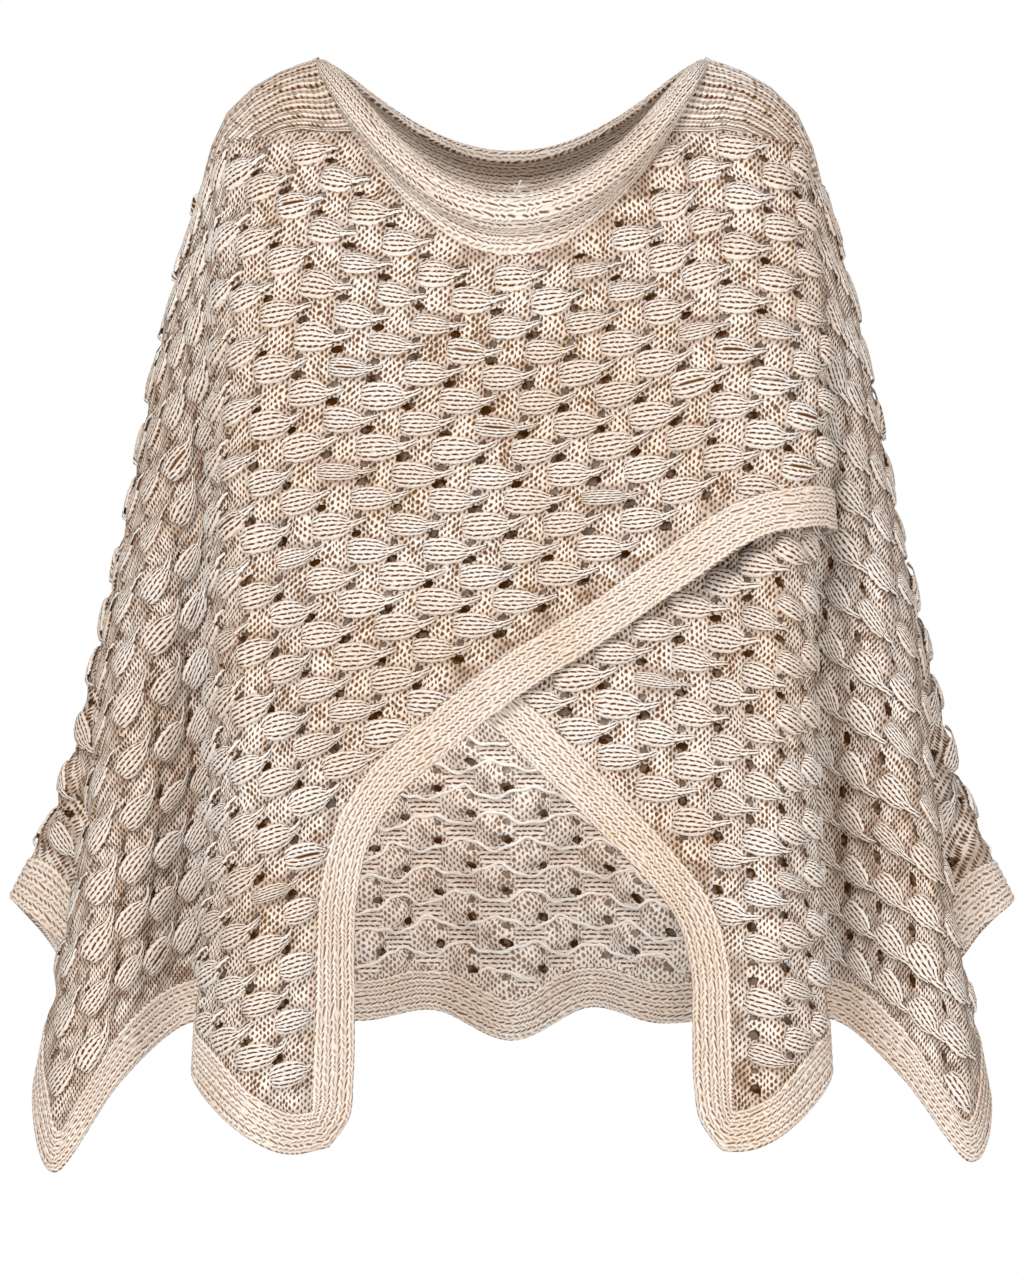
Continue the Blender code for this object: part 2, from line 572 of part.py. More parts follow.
def neckband_point(turn, profile, place, face):
    """A point of the neckband at turn, with place counting along its profile."""
    size = SHOULDER_ROLL + (1 - SHOULDER_ROLL) * np.sin(turn) ** 0.8
    outwards, up = smooth_curve(np.arange(len(profile)), profile, place)[0] * size
    up += BAND_LIFT_SHOULDER + (BAND_LIFT - BAND_LIFT_SHOULDER) * np.sin(turn)
    facing = np.array([np.cos(turn) / NECK_HALF_WIDTH, face * np.sin(turn) / neck_depth(face), 0.0])
    return neck_seam(turn, face) + facing / np.linalg.norm(facing) * outwards + np.array([0.0, 0.0, up])


def make_neckband(name, face, profile, material):
    turns = np.linspace(0.0, np.pi, NECKBAND_TURNS)
    places = np.arange(len(profile), dtype=float)
    step = 0.01
    inside = np.clip(turns, step, np.pi - step)
    points = np.array([[neckband_point(t, profile, k, face) for k in places] for t in turns])
    run = np.array([[neckband_point(t + step, profile, k, face) - neckband_point(t - step, profile, k, face)
                     for k in places] for t in inside])
    rise = np.array([[neckband_point(t, profile, k + step, face) - neckband_point(t, profile, k - step, face)
                      for k in places] for t in inside])
    normals = np.cross(run, rise) * -face
    normals[[0, -1], :, 1] = 0.0
    normals /= np.linalg.norm(normals, axis=-1, keepdims=True)
    points = pulled_in(points, SEAM_GAP / 2, SEAM_GAP / 2, TOP_GAP, 0.0)
    add_grid(name, points, normals, BAND_WALL, material)


def add_grid(name, points, normals, wall, material):
    index = np.arange(points[..., 0].size).reshape(points.shape[:2])
    thick_sheet(name, points.reshape(-1, 3), normals.reshape(-1, 3), grid_quads(index), wall, material)


def knit_material(name, colour):
    material = bpy.data.materials.new(name)
    material.use_nodes = True
    shader = material.node_tree.nodes["Principled BSDF"]
    shader.inputs["Base Color"].default_value = colour
    shader.inputs["Roughness"].default_value = KNIT_ROUGHNESS
    shader.inputs["Metallic"].default_value = 0.0
    return material


def main():
    for thing in list(bpy.data.objects):
        bpy.data.objects.remove(thing)
    pieces = ("back_panel", "over_front", "under_front", "over_front_band", "under_front_band", "back_hem_band",
              "saddle_right", "saddle_left", "neckband_front", "neckband_back")
    materials = {
        piece: knit_material(piece, RIB_COLOUR if "band" in piece or "saddle" in piece else PANEL_COLOUR)
        for piece in pieces
    }

    make_back_pieces(back_drape(), materials)
    make_front_pieces("over_front", over_front_drape(), OVER_EDGE, RIGHT, materials)
    make_front_pieces("under_front", under_front_drape(), UNDER_EDGE, LEFT, materials)
    make_saddle("saddle_right", RIGHT, materials["saddle_right"])
    make_saddle("saddle_left", LEFT, materials["saddle_left"])
    make_neckband("neckband_front", FRONT, FRONT_ROLL, materials["neckband_front"])
    make_neckband("neckband_back", BACK, BACK_STAND, materials["neckband_back"])


main()
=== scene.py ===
# %% [markdown]
# # A knitted wrap with crossing fronts
# The real thing is a sleeveless wrap in a thick, soft yarn. Every panel is knitted in one lace stitch:
# raised leaves of long, loose cords, two eyelets at the end of each leaf, and plain stitches in diamonds
# between them. Ribbed bands finish all the edges, and a ribbed strap lies over each shoulder. The packed
# model fixes where every panel hangs. This lesson lays real cloth on those surfaces, piece by piece.

# %% Load the model, and keep its size
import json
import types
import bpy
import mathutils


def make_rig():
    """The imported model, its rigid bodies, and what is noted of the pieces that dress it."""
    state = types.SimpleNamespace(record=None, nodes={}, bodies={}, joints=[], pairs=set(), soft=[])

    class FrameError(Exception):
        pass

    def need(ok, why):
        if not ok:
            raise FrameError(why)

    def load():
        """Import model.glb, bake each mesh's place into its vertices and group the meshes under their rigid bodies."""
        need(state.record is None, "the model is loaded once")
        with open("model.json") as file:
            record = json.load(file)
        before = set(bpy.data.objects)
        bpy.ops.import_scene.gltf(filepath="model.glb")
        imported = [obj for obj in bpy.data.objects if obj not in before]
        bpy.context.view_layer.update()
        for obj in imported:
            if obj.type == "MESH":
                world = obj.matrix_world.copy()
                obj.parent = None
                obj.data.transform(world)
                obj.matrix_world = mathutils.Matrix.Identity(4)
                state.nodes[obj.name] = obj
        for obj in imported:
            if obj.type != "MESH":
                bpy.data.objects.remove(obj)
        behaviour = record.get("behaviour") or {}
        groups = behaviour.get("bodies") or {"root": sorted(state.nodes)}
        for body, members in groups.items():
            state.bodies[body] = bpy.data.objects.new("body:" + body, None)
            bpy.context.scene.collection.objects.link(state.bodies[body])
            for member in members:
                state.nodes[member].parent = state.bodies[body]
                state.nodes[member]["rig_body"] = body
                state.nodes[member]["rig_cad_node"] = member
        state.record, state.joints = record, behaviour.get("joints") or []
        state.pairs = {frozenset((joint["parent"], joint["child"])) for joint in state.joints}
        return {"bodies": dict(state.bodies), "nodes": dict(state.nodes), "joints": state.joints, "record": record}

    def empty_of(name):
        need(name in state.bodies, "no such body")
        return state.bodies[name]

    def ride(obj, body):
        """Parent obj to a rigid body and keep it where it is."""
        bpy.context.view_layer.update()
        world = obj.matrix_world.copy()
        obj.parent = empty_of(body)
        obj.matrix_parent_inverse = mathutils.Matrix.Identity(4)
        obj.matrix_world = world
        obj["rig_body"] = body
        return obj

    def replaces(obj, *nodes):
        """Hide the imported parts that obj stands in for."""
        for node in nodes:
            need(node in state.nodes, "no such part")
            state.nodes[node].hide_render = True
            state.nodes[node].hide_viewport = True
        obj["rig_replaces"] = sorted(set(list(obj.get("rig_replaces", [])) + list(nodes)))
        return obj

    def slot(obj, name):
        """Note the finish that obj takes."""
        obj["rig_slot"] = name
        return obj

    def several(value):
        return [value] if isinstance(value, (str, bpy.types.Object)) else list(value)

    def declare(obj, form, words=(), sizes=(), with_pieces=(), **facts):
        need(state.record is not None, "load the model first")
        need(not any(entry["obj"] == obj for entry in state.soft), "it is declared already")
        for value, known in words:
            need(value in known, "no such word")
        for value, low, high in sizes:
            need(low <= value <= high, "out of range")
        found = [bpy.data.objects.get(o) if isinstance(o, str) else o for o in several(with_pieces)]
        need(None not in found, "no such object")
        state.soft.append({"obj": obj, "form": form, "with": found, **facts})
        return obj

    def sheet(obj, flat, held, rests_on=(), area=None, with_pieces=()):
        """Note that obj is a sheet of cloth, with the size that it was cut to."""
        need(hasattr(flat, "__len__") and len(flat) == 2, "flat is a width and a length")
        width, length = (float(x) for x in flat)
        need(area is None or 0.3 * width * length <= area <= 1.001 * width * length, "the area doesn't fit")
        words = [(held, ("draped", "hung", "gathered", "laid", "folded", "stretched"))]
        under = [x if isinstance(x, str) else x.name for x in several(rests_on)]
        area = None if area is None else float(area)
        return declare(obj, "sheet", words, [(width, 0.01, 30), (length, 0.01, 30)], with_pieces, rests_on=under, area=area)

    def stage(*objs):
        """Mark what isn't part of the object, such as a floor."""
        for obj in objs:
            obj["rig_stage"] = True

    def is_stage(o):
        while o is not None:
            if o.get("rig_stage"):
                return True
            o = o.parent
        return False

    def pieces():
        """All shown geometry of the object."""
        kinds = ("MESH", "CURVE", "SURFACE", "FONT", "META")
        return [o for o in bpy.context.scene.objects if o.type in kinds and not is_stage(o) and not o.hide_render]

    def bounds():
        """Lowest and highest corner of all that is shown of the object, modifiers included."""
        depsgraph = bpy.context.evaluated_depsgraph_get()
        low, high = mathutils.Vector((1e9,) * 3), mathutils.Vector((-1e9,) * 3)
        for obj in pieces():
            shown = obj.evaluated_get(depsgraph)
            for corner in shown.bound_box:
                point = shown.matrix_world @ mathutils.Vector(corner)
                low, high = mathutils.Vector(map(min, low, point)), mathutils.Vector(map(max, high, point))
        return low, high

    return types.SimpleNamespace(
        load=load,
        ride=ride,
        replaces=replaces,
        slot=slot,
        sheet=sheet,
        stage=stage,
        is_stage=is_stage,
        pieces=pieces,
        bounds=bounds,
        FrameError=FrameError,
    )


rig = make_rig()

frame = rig.load()

import itertools
import json
import math
from collections import namedtuple

import bpy
import numpy as np
from mathutils import Vector

SIZE_FILE = "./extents.json"
cad_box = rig.bounds()
bpy.ops.object.select_all(action="DESELECT")
print("model:", [round(high - low, 4) for low, high in zip(*cad_box)])

# %% [markdown]
# ## The studio
# A garment is shown against white, under soft light. A bright, even sky does much of the work, because
# light from all round is what makes knitting look soft. A large lamp high in front shapes the folds, weaker
# ones light them from low in front and from both sides, and one lights the back. A small one hangs inside,
# where the sky hardly reaches. The camera stands far away with a long lens, so that near and far folds keep
# their sizes.

# %% Sky, lamps, floor and camera
SKY_FOR_LIGHT = 0.43
SKY_COLOUR, PAPER_COLOUR = (1.0, 0.985, 0.965, 1.0), (1.0, 1.0, 1.0, 1.0)
LAMP_COLOUR = (1.0, 0.975, 0.95)
MIDDLE = (0.0, 0.0, -0.42)  # of the garment
LAMPS = (  # name, place, size, power, what it is aimed at
    ("soft_lamp", (-1.3, -4.2, 3.4), 2.0, 180.0, MIDDLE),
    ("front_lamp", (0.4, -6.0, -0.8), 2.2, 56.0, MIDDLE),
    ("right_lamp", (-3.6, -3.8, -0.4), 2.0, 30.0, MIDDLE),
    ("left_lamp", (3.6, -3.8, -0.4), 2.0, 52.0, MIDDLE),
    ("back_lamp", (0.9, 4.6, 1.6), 2.0, 100.0, MIDDLE),
    ("inside_lamp", (0.0, -0.06, -0.34), 0.22, 0.80, (0.0, 0.15, -0.66)),
)
FLOOR_HEIGHT, FLOOR_RADIUS = -1.45, 4.0
FLOOR_COLOUR, FLOOR_ROUGHNESS = (0.86, 0.86, 0.85, 1.0), 0.8
CAMERA_DISTANCE, CAMERA_HEIGHT, CAMERA_LENS = 12.0, -0.4256, 462.0

scene = bpy.context.scene
scene.view_settings.view_transform = "Standard"


def new_object(name, data, place=(0.0, 0.0, 0.0)):
    thing = bpy.data.objects.new(name, data)
    thing.location = place
    scene.collection.objects.link(thing)
    return thing


def make_sky():
    """White behind the garment, and a little less than white as light, so that the folds keep their shade."""
    world = bpy.data.worlds.new("studio_sky")
    world.use_nodes = True
    tree = world.node_tree
    light = tree.nodes["Background"]
    light.inputs["Color"].default_value = SKY_COLOUR
    light.inputs["Strength"].default_value = SKY_FOR_LIGHT
    paper = tree.nodes.new("ShaderNodeBackground")
    paper.inputs["Color"].default_value = PAPER_COLOUR
    seen = tree.nodes.new("ShaderNodeLightPath").outputs["Is Camera Ray"]
    mix = tree.nodes.new("ShaderNodeMixShader")
    for output, socket in zip((seen, light.outputs[0], paper.outputs[0]), mix.inputs):
        tree.links.new(output, socket)
    tree.links.new(mix.outputs[0], tree.nodes["World Output"].inputs["Surface"])
    scene.world = world


def make_lamp(name, place, size, power, target):
    """A round lamp that looks at the target."""
    lamp = bpy.data.lights.new(name, "AREA")
    lamp.shape = "DISK"
    lamp.size = size
    lamp.energy = power
    lamp.color = LAMP_COLOUR
    thing = new_object(name, lamp, place)
    thing.rotation_euler = (Vector(target) - thing.location).to_track_quat("-Z", "Y").to_euler()


def make_floor():
    bpy.ops.mesh.primitive_circle_add(
        vertices=96, radius=FLOOR_RADIUS, fill_type="NGON", location=(0, 0, FLOOR_HEIGHT)
    )
    floor = bpy.context.object
    floor.name = "studio_floor"
    paint = bpy.data.materials.new("floor_paint")
    paint.use_nodes = True
    shader = paint.node_tree.nodes["Principled BSDF"]
    shader.inputs["Base Color"].default_value = FLOOR_COLOUR
    shader.inputs["Roughness"].default_value = FLOOR_ROUGHNESS
    floor.data.materials.append(paint)
    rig.stage(floor)


def make_camera():
    lens = bpy.data.cameras.new("studio_camera")
    lens.lens = CAMERA_LENS
    lens.clip_end = 100.0
    camera = new_object("studio_camera", lens, (0.0, -CAMERA_DISTANCE, CAMERA_HEIGHT))
    camera.rotation_euler = (math.pi / 2, 0.0, 0.0)
    scene.camera = camera


make_sky()
for lamp in LAMPS:
    make_lamp(*lamp)
make_floor()
make_camera()
print("studio ready")

# %% [markdown]
# ## Where the cloth hangs
# A worn knit makes long, soft folds that start at the neck, the shoulder strap or the top of the arm and
# widen towards the hem. Each fold is listed here as one ridge or valley: the point of the seam that
# it starts from, its place at four heights, and its place at the hem. A smooth surface through all of them
# is the panel. They are the same folds as in the imported model, so the cloth lies exactly on it. Places on a
# panel are (across, height): across is measured along the cloth, and height is the world's Z.

# %% Seams of the neck and shoulders
FRONT, BACK = -1, 1
RIGHT, LEFT = -1, 1  # the wearer's sides, as the sign of x
BAND_WIDTH = 0.030

# Neck opening: the seam between the neckband and the body, an ellipse seen from above.
NECK_HALF_WIDTH = 0.140
NECK_FRONT_DEPTH = 0.118
NECK_BACK_DEPTH = 0.095
NECK_SIDE_HEIGHT = -0.012
NECK_FRONT_HEIGHT = -0.147
NECK_BACK_HEIGHT = -0.103

# Shoulder saddle: a strap that lies over the shoulder and ends rounded at the top of the arm.
SADDLE_HALF_DEPTH = 0.066
SADDLE_SIDE_DROP = 0.045
SADDLE_CORNER_X = 0.160  # where its straight front and back seams end and its rounded end begins
ARM_TOP_X = 0.2245
SHOULDER_LINE_X = (0.100, 0.140, 0.154, 0.168, 0.187, 0.206, 0.218, ARM_TOP_X)
SHOULDER_LINE_Z = (-0.012, -0.012, -0.0105, -0.0135, -0.0235, -0.042, -0.068, -0.096)


def smooth_curve(knots, values, at):
    """Values on a smooth curve through (knots, values) at each number of at. Knots may differ per column."""
    knots = np.asarray(knots, float)
    values = np.asarray(values, float)
    at = np.atleast_1d(np.asarray(at, float))
    if knots.ndim == 1:
        knots = np.repeat(knots[:, None], len(at), axis=1)
        values = np.repeat(values[:, None], len(at), axis=1)
    gaps = np.diff(knots, axis=0)
    slopes = np.diff(values, axis=0) / gaps[..., None]
    tangents = np.concatenate([slopes[:1], slopes, slopes[-1:]])[:-1].copy()
    before, after = gaps[:-1, :, None], gaps[1:, :, None]
    tangents[1:-1] = (slopes[:-1] * after + slopes[1:] * before) / (before + after)
    tangents[-1] = slopes[-1]
    segment = np.clip((knots <= at).sum(axis=0) - 1, 0, len(knots) - 2)
    column = np.arange(len(at))
    gap = gaps[segment, column]
    share = (at - knots[segment, column]) / gap
    share, gap = share[:, None], gap[:, None]
    start, end = values[segment, column], values[segment + 1, column]
    start_slope, end_slope = tangents[segment, column], tangents[segment + 1, column]
    return (
        start * (2 * share**3 - 3 * share**2 + 1)
        + start_slope * gap * (share**3 - 2 * share**2 + share)
        + end * (3 * share**2 - 2 * share**3)
        + end_slope * gap * (share**3 - share**2)
    )


def part_way(value, start, end):
    """0 up to start, 1 from end on, and an even change between them."""
    return np.clip((value - start) / (end - start), 0, 1)


def neck_depth(face):
    return NECK_FRONT_DEPTH if face == FRONT else NECK_BACK_DEPTH


def neck_seam(turn, face):
    """The seam under the neckband, at turn radians from the wearer's left shoulder towards the face."""
    centre_height = NECK_FRONT_HEIGHT if face == FRONT else NECK_BACK_HEIGHT
    toward = np.sin(turn)
    return np.array([
        NECK_HALF_WIDTH * np.cos(turn),
        face * neck_depth(face) * toward,
        NECK_SIDE_HEIGHT + (centre_height - NECK_SIDE_HEIGHT) * toward**2,
    ])


def saddle_point(along, turn, side):
    """along: 0 at the neck, 1 at the arm. turn: -pi/2 on the front seam, 0 on the shoulder line."""
    q = np.sin(turn)
    y = SADDLE_HALF_DEPTH * q
    depth = neck_depth(FRONT if q < 0 else BACK)
    neck_x = NECK_HALF_WIDTH * np.sqrt(1 - (y / depth) ** 2)
    arm_x = SADDLE_CORNER_X + (ARM_TOP_X - SADDLE_CORNER_X) * np.cos(turn)
    x = neck_x + (arm_x - neck_x) * along
    z = np.interp(x, SHOULDER_LINE_X, SHOULDER_LINE_Z) - SADDLE_SIDE_DROP * q * q
    return np.array([side * x, y, z])


def top_seam(seam, side, face):
    """The edge that a panel hangs from, by the fold tables' seam values."""
    if seam > 2:
        return saddle_point(1.0, face * (3 - seam) * np.pi / 2, side)
    if seam > 1:
        return saddle_point(seam - 1, face * np.pi / 2, side)
    corner_turn = np.arcsin(SADDLE_HALF_DEPTH / neck_depth(face))
    across = seam * np.cos(corner_turn)
    point = neck_seam(np.arccos(across), face)
    return point * (side, 1, 1)


print("neck opening:", 2 * NECK_HALF_WIDTH, "m wide")

# %% The folds
# Heights of the sections that every fold passes through between the top seam and the hem.
LEVELS = (-0.190, -0.310, -0.430, -0.550)

# across: distance along the cloth from the centre line at the hem.  seam: where the fold starts on the top
# seam: 0 centre of the neck, 1 corner of the saddle, 2 its rounded end, 3 top of the arm.
# yoke, chest, waist, hip: (x, y) at the four LEVELS.  hem: (x, y), with its height on each side.
Fold = namedtuple("Fold", "name across seam yoke chest waist hip hem hem_right hem_left")

FRONT_FOLDS = (
    Fold("centre", 0.000, 0.00, (0.000, -0.138), (0.000, -0.149),
         (0.000, -0.157), (0.000, -0.160), (0.000, -0.165), -0.800, -0.800),
    Fold("chest swell", 0.062, 0.50, (0.062, -0.138), (0.062, -0.152),
         (0.062, -0.161), (0.062, -0.165), (0.062, -0.170), -0.800, -0.800),
    Fold("split edge", 0.115, 0.95, (0.115, -0.135), (0.113, -0.146),
         (0.112, -0.158), (0.112, -0.163), (0.115, -0.166), -0.778, -0.780),
    Fold("chest valley", 0.150, 1.40, (0.148, -0.129), (0.146, -0.140),
         (0.144, -0.158), (0.144, -0.175), (0.150, -0.186), -0.795, -0.793),
    Fold("front ridge", 0.196, 2.15, (0.188, -0.124), (0.192, -0.154),
         (0.190, -0.180), (0.187, -0.194), (0.189, -0.203), -0.784, -0.785),
    Fold("front ridge side", 0.245, 2.50, (0.212, -0.104), (0.216, -0.122),
         (0.2165, -0.142), (0.218, -0.155), (0.2275, -0.163), -0.746, -0.746),
    Fold("deep valley", 0.320, 2.65, (0.2155, -0.084), (0.208, -0.086),
         (0.205, -0.092), (0.207, -0.098), (0.212, -0.100), -0.700, -0.698),
    Fold("valley", 0.355, 2.74, (0.226, -0.072), (0.224, -0.074),
         (0.227, -0.078), (0.230, -0.082), (0.240, -0.086), -0.706, -0.704),
    Fold("side lobe slope", 0.405, 2.82, (0.235, -0.058), (0.243, -0.074),
         (0.253, -0.090), (0.264, -0.105), (0.284, -0.117), -0.746, -0.744),
    Fold("side lobe tip", 0.455, 2.90, (0.243, -0.040), (0.259, -0.058),
         (0.277, -0.080), (0.293, -0.104), (0.329, -0.130), -0.810, -0.802),
    Fold("side lobe edge", 0.515, 2.955, (0.249, -0.020), (0.270, -0.026),
         (0.293, -0.040), (0.308, -0.060), (0.346, -0.078), -0.752, -0.760),
)
SIDE_SEAM = Fold("side seam", 0.580, 3.00, (0.251, 0.002), (0.274, 0.004),
                 (0.296, 0.000), (0.304, -0.012), (0.312, -0.014), -0.672, -0.672)
BACK_FOLDS = (
    Fold("centre", 0.000, 0.00, (0.000, 0.110), (0.000, 0.124),
         (0.000, 0.136), (0.000, 0.146), (0.000, 0.152), -0.722, -0.722),
    Fold("centre ridge", 0.062, 0.55, (0.056, 0.112), (0.057, 0.131),
         (0.057, 0.150), (0.057, 0.166), (0.057, 0.182), -0.700, -0.698),
    Fold("back valley", 0.125, 1.10, (0.111, 0.108), (0.111, 0.119),
         (0.111, 0.129), (0.111, 0.136), (0.110, 0.143), -0.707, -0.709),
    Fold("back ridge", 0.192, 1.85, (0.161, 0.104), (0.164, 0.124),
         (0.166, 0.143), (0.169, 0.160), (0.173, 0.180), -0.703, -0.701),
    Fold("deep back valley", 0.270, 2.36, (0.194, 0.092), (0.200, 0.099),
         (0.209, 0.106), (0.221, 0.114), (0.234, 0.124), -0.682, -0.684),
    Fold("back lobe tip", 0.375, 2.67, (0.223, 0.076), (0.237, 0.092),
         (0.257, 0.112), (0.282, 0.134), (0.318, 0.160), -0.676, -0.674),
    Fold("back lobe side", 0.450, 2.84, (0.239, 0.052), (0.258, 0.064),
         (0.283, 0.074), (0.311, 0.084), (0.346, 0.100), -0.641, -0.640),
    Fold("rear corner", 0.525, 2.95, (0.248, 0.025), (0.273, 0.030),
         (0.301, 0.028), (0.334, 0.026), (0.364, 0.030), -0.618, -0.620),
)
# The over front's folds on the wearer's left, where it lies on the under front and turns back at its side.
OVER_FOLDS = (
    Fold("chest", 0.115, 0.95, (0.112, -0.135), (0.112, -0.149),
         (0.112, -0.158), (0.112, -0.160), (0.112, -0.165), -0.800, -0.800),
    Fold("left ridge", 0.175, 1.80, (0.172, -0.131), (0.176, -0.157),
         (0.178, -0.171), (0.178, -0.168), (0.178, -0.172), -0.800, -0.800),
    Fold("left ridge side", 0.215, 2.32, (0.206, -0.118), (0.214, -0.144),
         (0.221, -0.156), (0.222, -0.155), (0.222, -0.160), -0.800, -0.800),
    Fold("fold edge", 0.250, 2.50, (0.2245, -0.094), (0.2305, -0.116),
         (0.2395, -0.126), (0.241, -0.130), (0.241, -0.135), -0.800, -0.800),
    Fold("turned-back edge", 0.275, 2.58, (0.226, -0.080), (0.2255, -0.094),
         (0.230, -0.104), (0.230, -0.108), (0.230, -0.110), -0.800, -0.800),
)
UNDER_STEP = 0.0095  # how far behind the over front the under front hangs
UNDER_STEP_AT_SEAM = 0.0060
UNDER_LEFT_INSET = (0.008, 0.017, 0.011, 0.003)  # the same, at the four LEVELS, where it turns outwards
UNDER_EMERGES = (0.345, 0.430)  # across, where its top edge comes out beside the over front
UNDER_START = -0.172  # across, its hidden edge on the wearer's right

# Edges of the two fronts: (across, height), from the turned-back or hidden end down to the corner of the hem.
OVER_EDGE = (
    (0.275, -0.350), (0.250, -0.347), (0.215, -0.344), (0.182, -0.350), (0.126, -0.388),
    (0.070, -0.425), (0.000, -0.470), (-0.045, -0.506), (-0.082, -0.538), (-0.105, -0.572),
    (-0.114, -0.612), (-0.115, -0.680), (-0.115, -0.740), (-0.118, -0.771), (-0.132, -0.791),
)
UNDER_EDGE = (
    (UNDER_START, -0.354), (-0.120, -0.395), (-0.060, -0.447), (-0.017, -0.486), (0.049, -0.550),
    (0.099, -0.600), (0.122, -0.628), (0.131, -0.660), (0.132, -0.700), (0.132, -0.745),
    (0.136, -0.772), (0.147, -0.789),
)
HEM_STARTS_AT = 0.152  # across, where the hem leaves the rounded corner of either front
SPLIT_MIDDLE = -0.700  # a height at which the slanting edges have turned to hang straight down
SPLIT_BOTTOM = -0.752

print("folds:", len(FRONT_FOLDS) + len(BACK_FOLDS) + len(OVER_FOLDS) + 1)

# %% A surface through the folds
FINE_COLUMNS = 1400  # of the table that each panel's folds are read from
BEFORE_END = 1.001  # in rows or columns: how near to its end a table is read, so that one more always follows
SHOULDER_REACH, SHOULDER_DROP = 0.150, 0.030  # what a hidden top edge is moved towards
NORMAL_STEP = 0.0008
TINY = 1e-12  # keeps divisions by a length defined


def unit(vectors):
    """The vectors' directions, each of length 1."""
    return vectors / np.maximum(np.linalg.norm(vectors, axis=-1, keepdims=True), TINY)


class Drape:
    """A panel's surface, lofted through folds.

    Each row: (across, seam, side, face, four level points, hem).
    """

    def __init__(self, rows, top_step=0.0):
        rows = sorted(rows, key=lambda row: row[0])
        self.across = np.array([row[0] for row in rows])
        self.seams = np.array([row[1] * row[2] for row in rows])
        self.face = rows[len(rows) // 2][3]
        levels = [[(x, y, z) for (x, y), z in zip(row[4], LEVELS)] for row in rows]
        self.points = np.array([level + [row[5]] for level, row in zip(levels, rows)])
        self.top_step = top_step
        self.fine = np.linspace(self.across[0], self.across[-1], FINE_COLUMNS)
        below = smooth_curve(self.across, self.points.reshape(len(self.across), -1), self.fine)
        below = below.reshape(FINE_COLUMNS, -1, 3).swapaxes(0, 1)
        self.fine_knots = np.concatenate([self.seam_points(self.fine)[None], below])

    def top(self, across):
        """The point of the top seam over each value of across."""
        return self.knots(across)[0]

    def seam_points(self, across):
        signed = np.interp(across, self.across, self.seams)
        beyond = np.abs(signed) > 3
        inside = np.where(beyond, np.sign(signed) * 6 - signed, signed)
        faces = np.where(beyond, -self.face, self.face)
        points = np.array([
            top_seam(min(abs(s), 3), 1 if s >= 0 else -1, int(f)) for s, f in zip(inside, faces)
        ])
        return points + self.step_in(points, across)

    def step_in(self, points, across):
        """How far the top edge is moved towards the shoulder, where this panel lies under another."""
        step = self.top_step * np.interp(across, UNDER_EMERGES, (1.0, 0.0))
        shoulder = points * (1, 0, 1)
        shoulder[:, 0] = np.clip(shoulder[:, 0], -SHOULDER_REACH, SHOULDER_REACH)
        shoulder[:, 2] -= SHOULDER_DROP
        return unit(shoulder - points) * step[:, None]

    def knots(self, across):
        """The points that each column passes through, from the top seam to the hem."""
        place = (np.asarray(across) - self.fine[0]) / (self.fine[1] - self.fine[0])
        place = np.clip(place, 0, FINE_COLUMNS - BEFORE_END)
        left = place.astype(int)
        share = (place - left)[:, None]
        return self.fine_knots[:, left] * (1 - share) + self.fine_knots[:, left + 1] * share

    def point(self, across, height):
        """Surface points at arrays of across and height."""
        across = np.atleast_1d(np.asarray(across, float))
        height = np.broadcast_to(np.asarray(height, float), across.shape)
        knots = self.knots(across)
        plan = smooth_curve(-knots[..., 2], knots[..., :2], -height)
        return np.column_stack([plan, height])

    def normal(self, across, height):
        """Unit normals that point away from the wearer."""
        across = np.clip(across, self.across[0] + NORMAL_STEP, self.across[-1] - NORMAL_STEP)
        along = self.point(across + NORMAL_STEP, height) - self.point(across - NORMAL_STEP, height)
        up = self.point(across, height + NORMAL_STEP) - self.point(across, height - NORMAL_STEP)
        return unit(np.cross(along, up) * (-self.face))

    def hem(self, across):
        return smooth_curve(self.across, self.points[:, -1, 2:], across)[:, 0]


def fold_row(fold, side, face):
    """A fold on one side of the body, as a row of a Drape."""
    hem_height = fold.hem_right if side == RIGHT else fold.hem_left
    across = side * fold.across
    levels = [(side * x, y) for x, y in (fold.yoke, fold.chest, fold.waist, fold.hip)]
    return (across, fold.seam, side, face, levels, (side * fold.hem[0], fold.hem[1], hem_height))


def beyond_seam(fold, side, face):
    """The first fold of the neighbouring panel past the side seam, so that both panels meet smoothly."""
    across, _, _, _, levels, hem = fold_row(fold, side, face)
    mirrored = side * (2 * SIDE_SEAM.across - abs(across))
    return (mirrored, 6 - fold.seam, side, face, levels, hem)


def moved_in(row, steps):
    """The row with each of its points moved back by the steps: one for each level, and one for the hem."""
    across, seam, side, face, levels, hem = row
    levels = [(x, y + step) for (x, y), step in zip(levels, steps)]
    return (across, seam, side, face, levels, (hem[0], hem[1] + steps[-1], hem[2]))


def over_front_drape():
    rows = [fold_row(fold, RIGHT, FRONT) for fold in FRONT_FOLDS[1:]]
    rows += [fold_row(SIDE_SEAM, RIGHT, FRONT), beyond_seam(BACK_FOLDS[-1], RIGHT, FRONT)]
    rows += [fold_row(fold, LEFT, FRONT) for fold in (FRONT_FOLDS[0], FRONT_FOLDS[1]) + OVER_FOLDS]
    return Drape(rows)


def under_front_drape():
    hidden = [fold_row(fold, RIGHT, FRONT) for fold in FRONT_FOLDS[1:5]]
    hidden += [fold_row(fold, LEFT, FRONT) for fold in FRONT_FOLDS[:2]]
    rows = [moved_in(row, [UNDER_STEP] * 5) for row in hidden]
    for fold in FRONT_FOLDS[2:]:
        steps = UNDER_LEFT_INSET + (0.0,) if fold.across < 0.3 else (0.0,) * 5
        rows.append(moved_in(fold_row(fold, LEFT, FRONT), steps))
    rows += [fold_row(SIDE_SEAM, LEFT, FRONT), beyond_seam(BACK_FOLDS[-1], LEFT, FRONT)]
    return Drape(rows, UNDER_STEP_AT_SEAM)


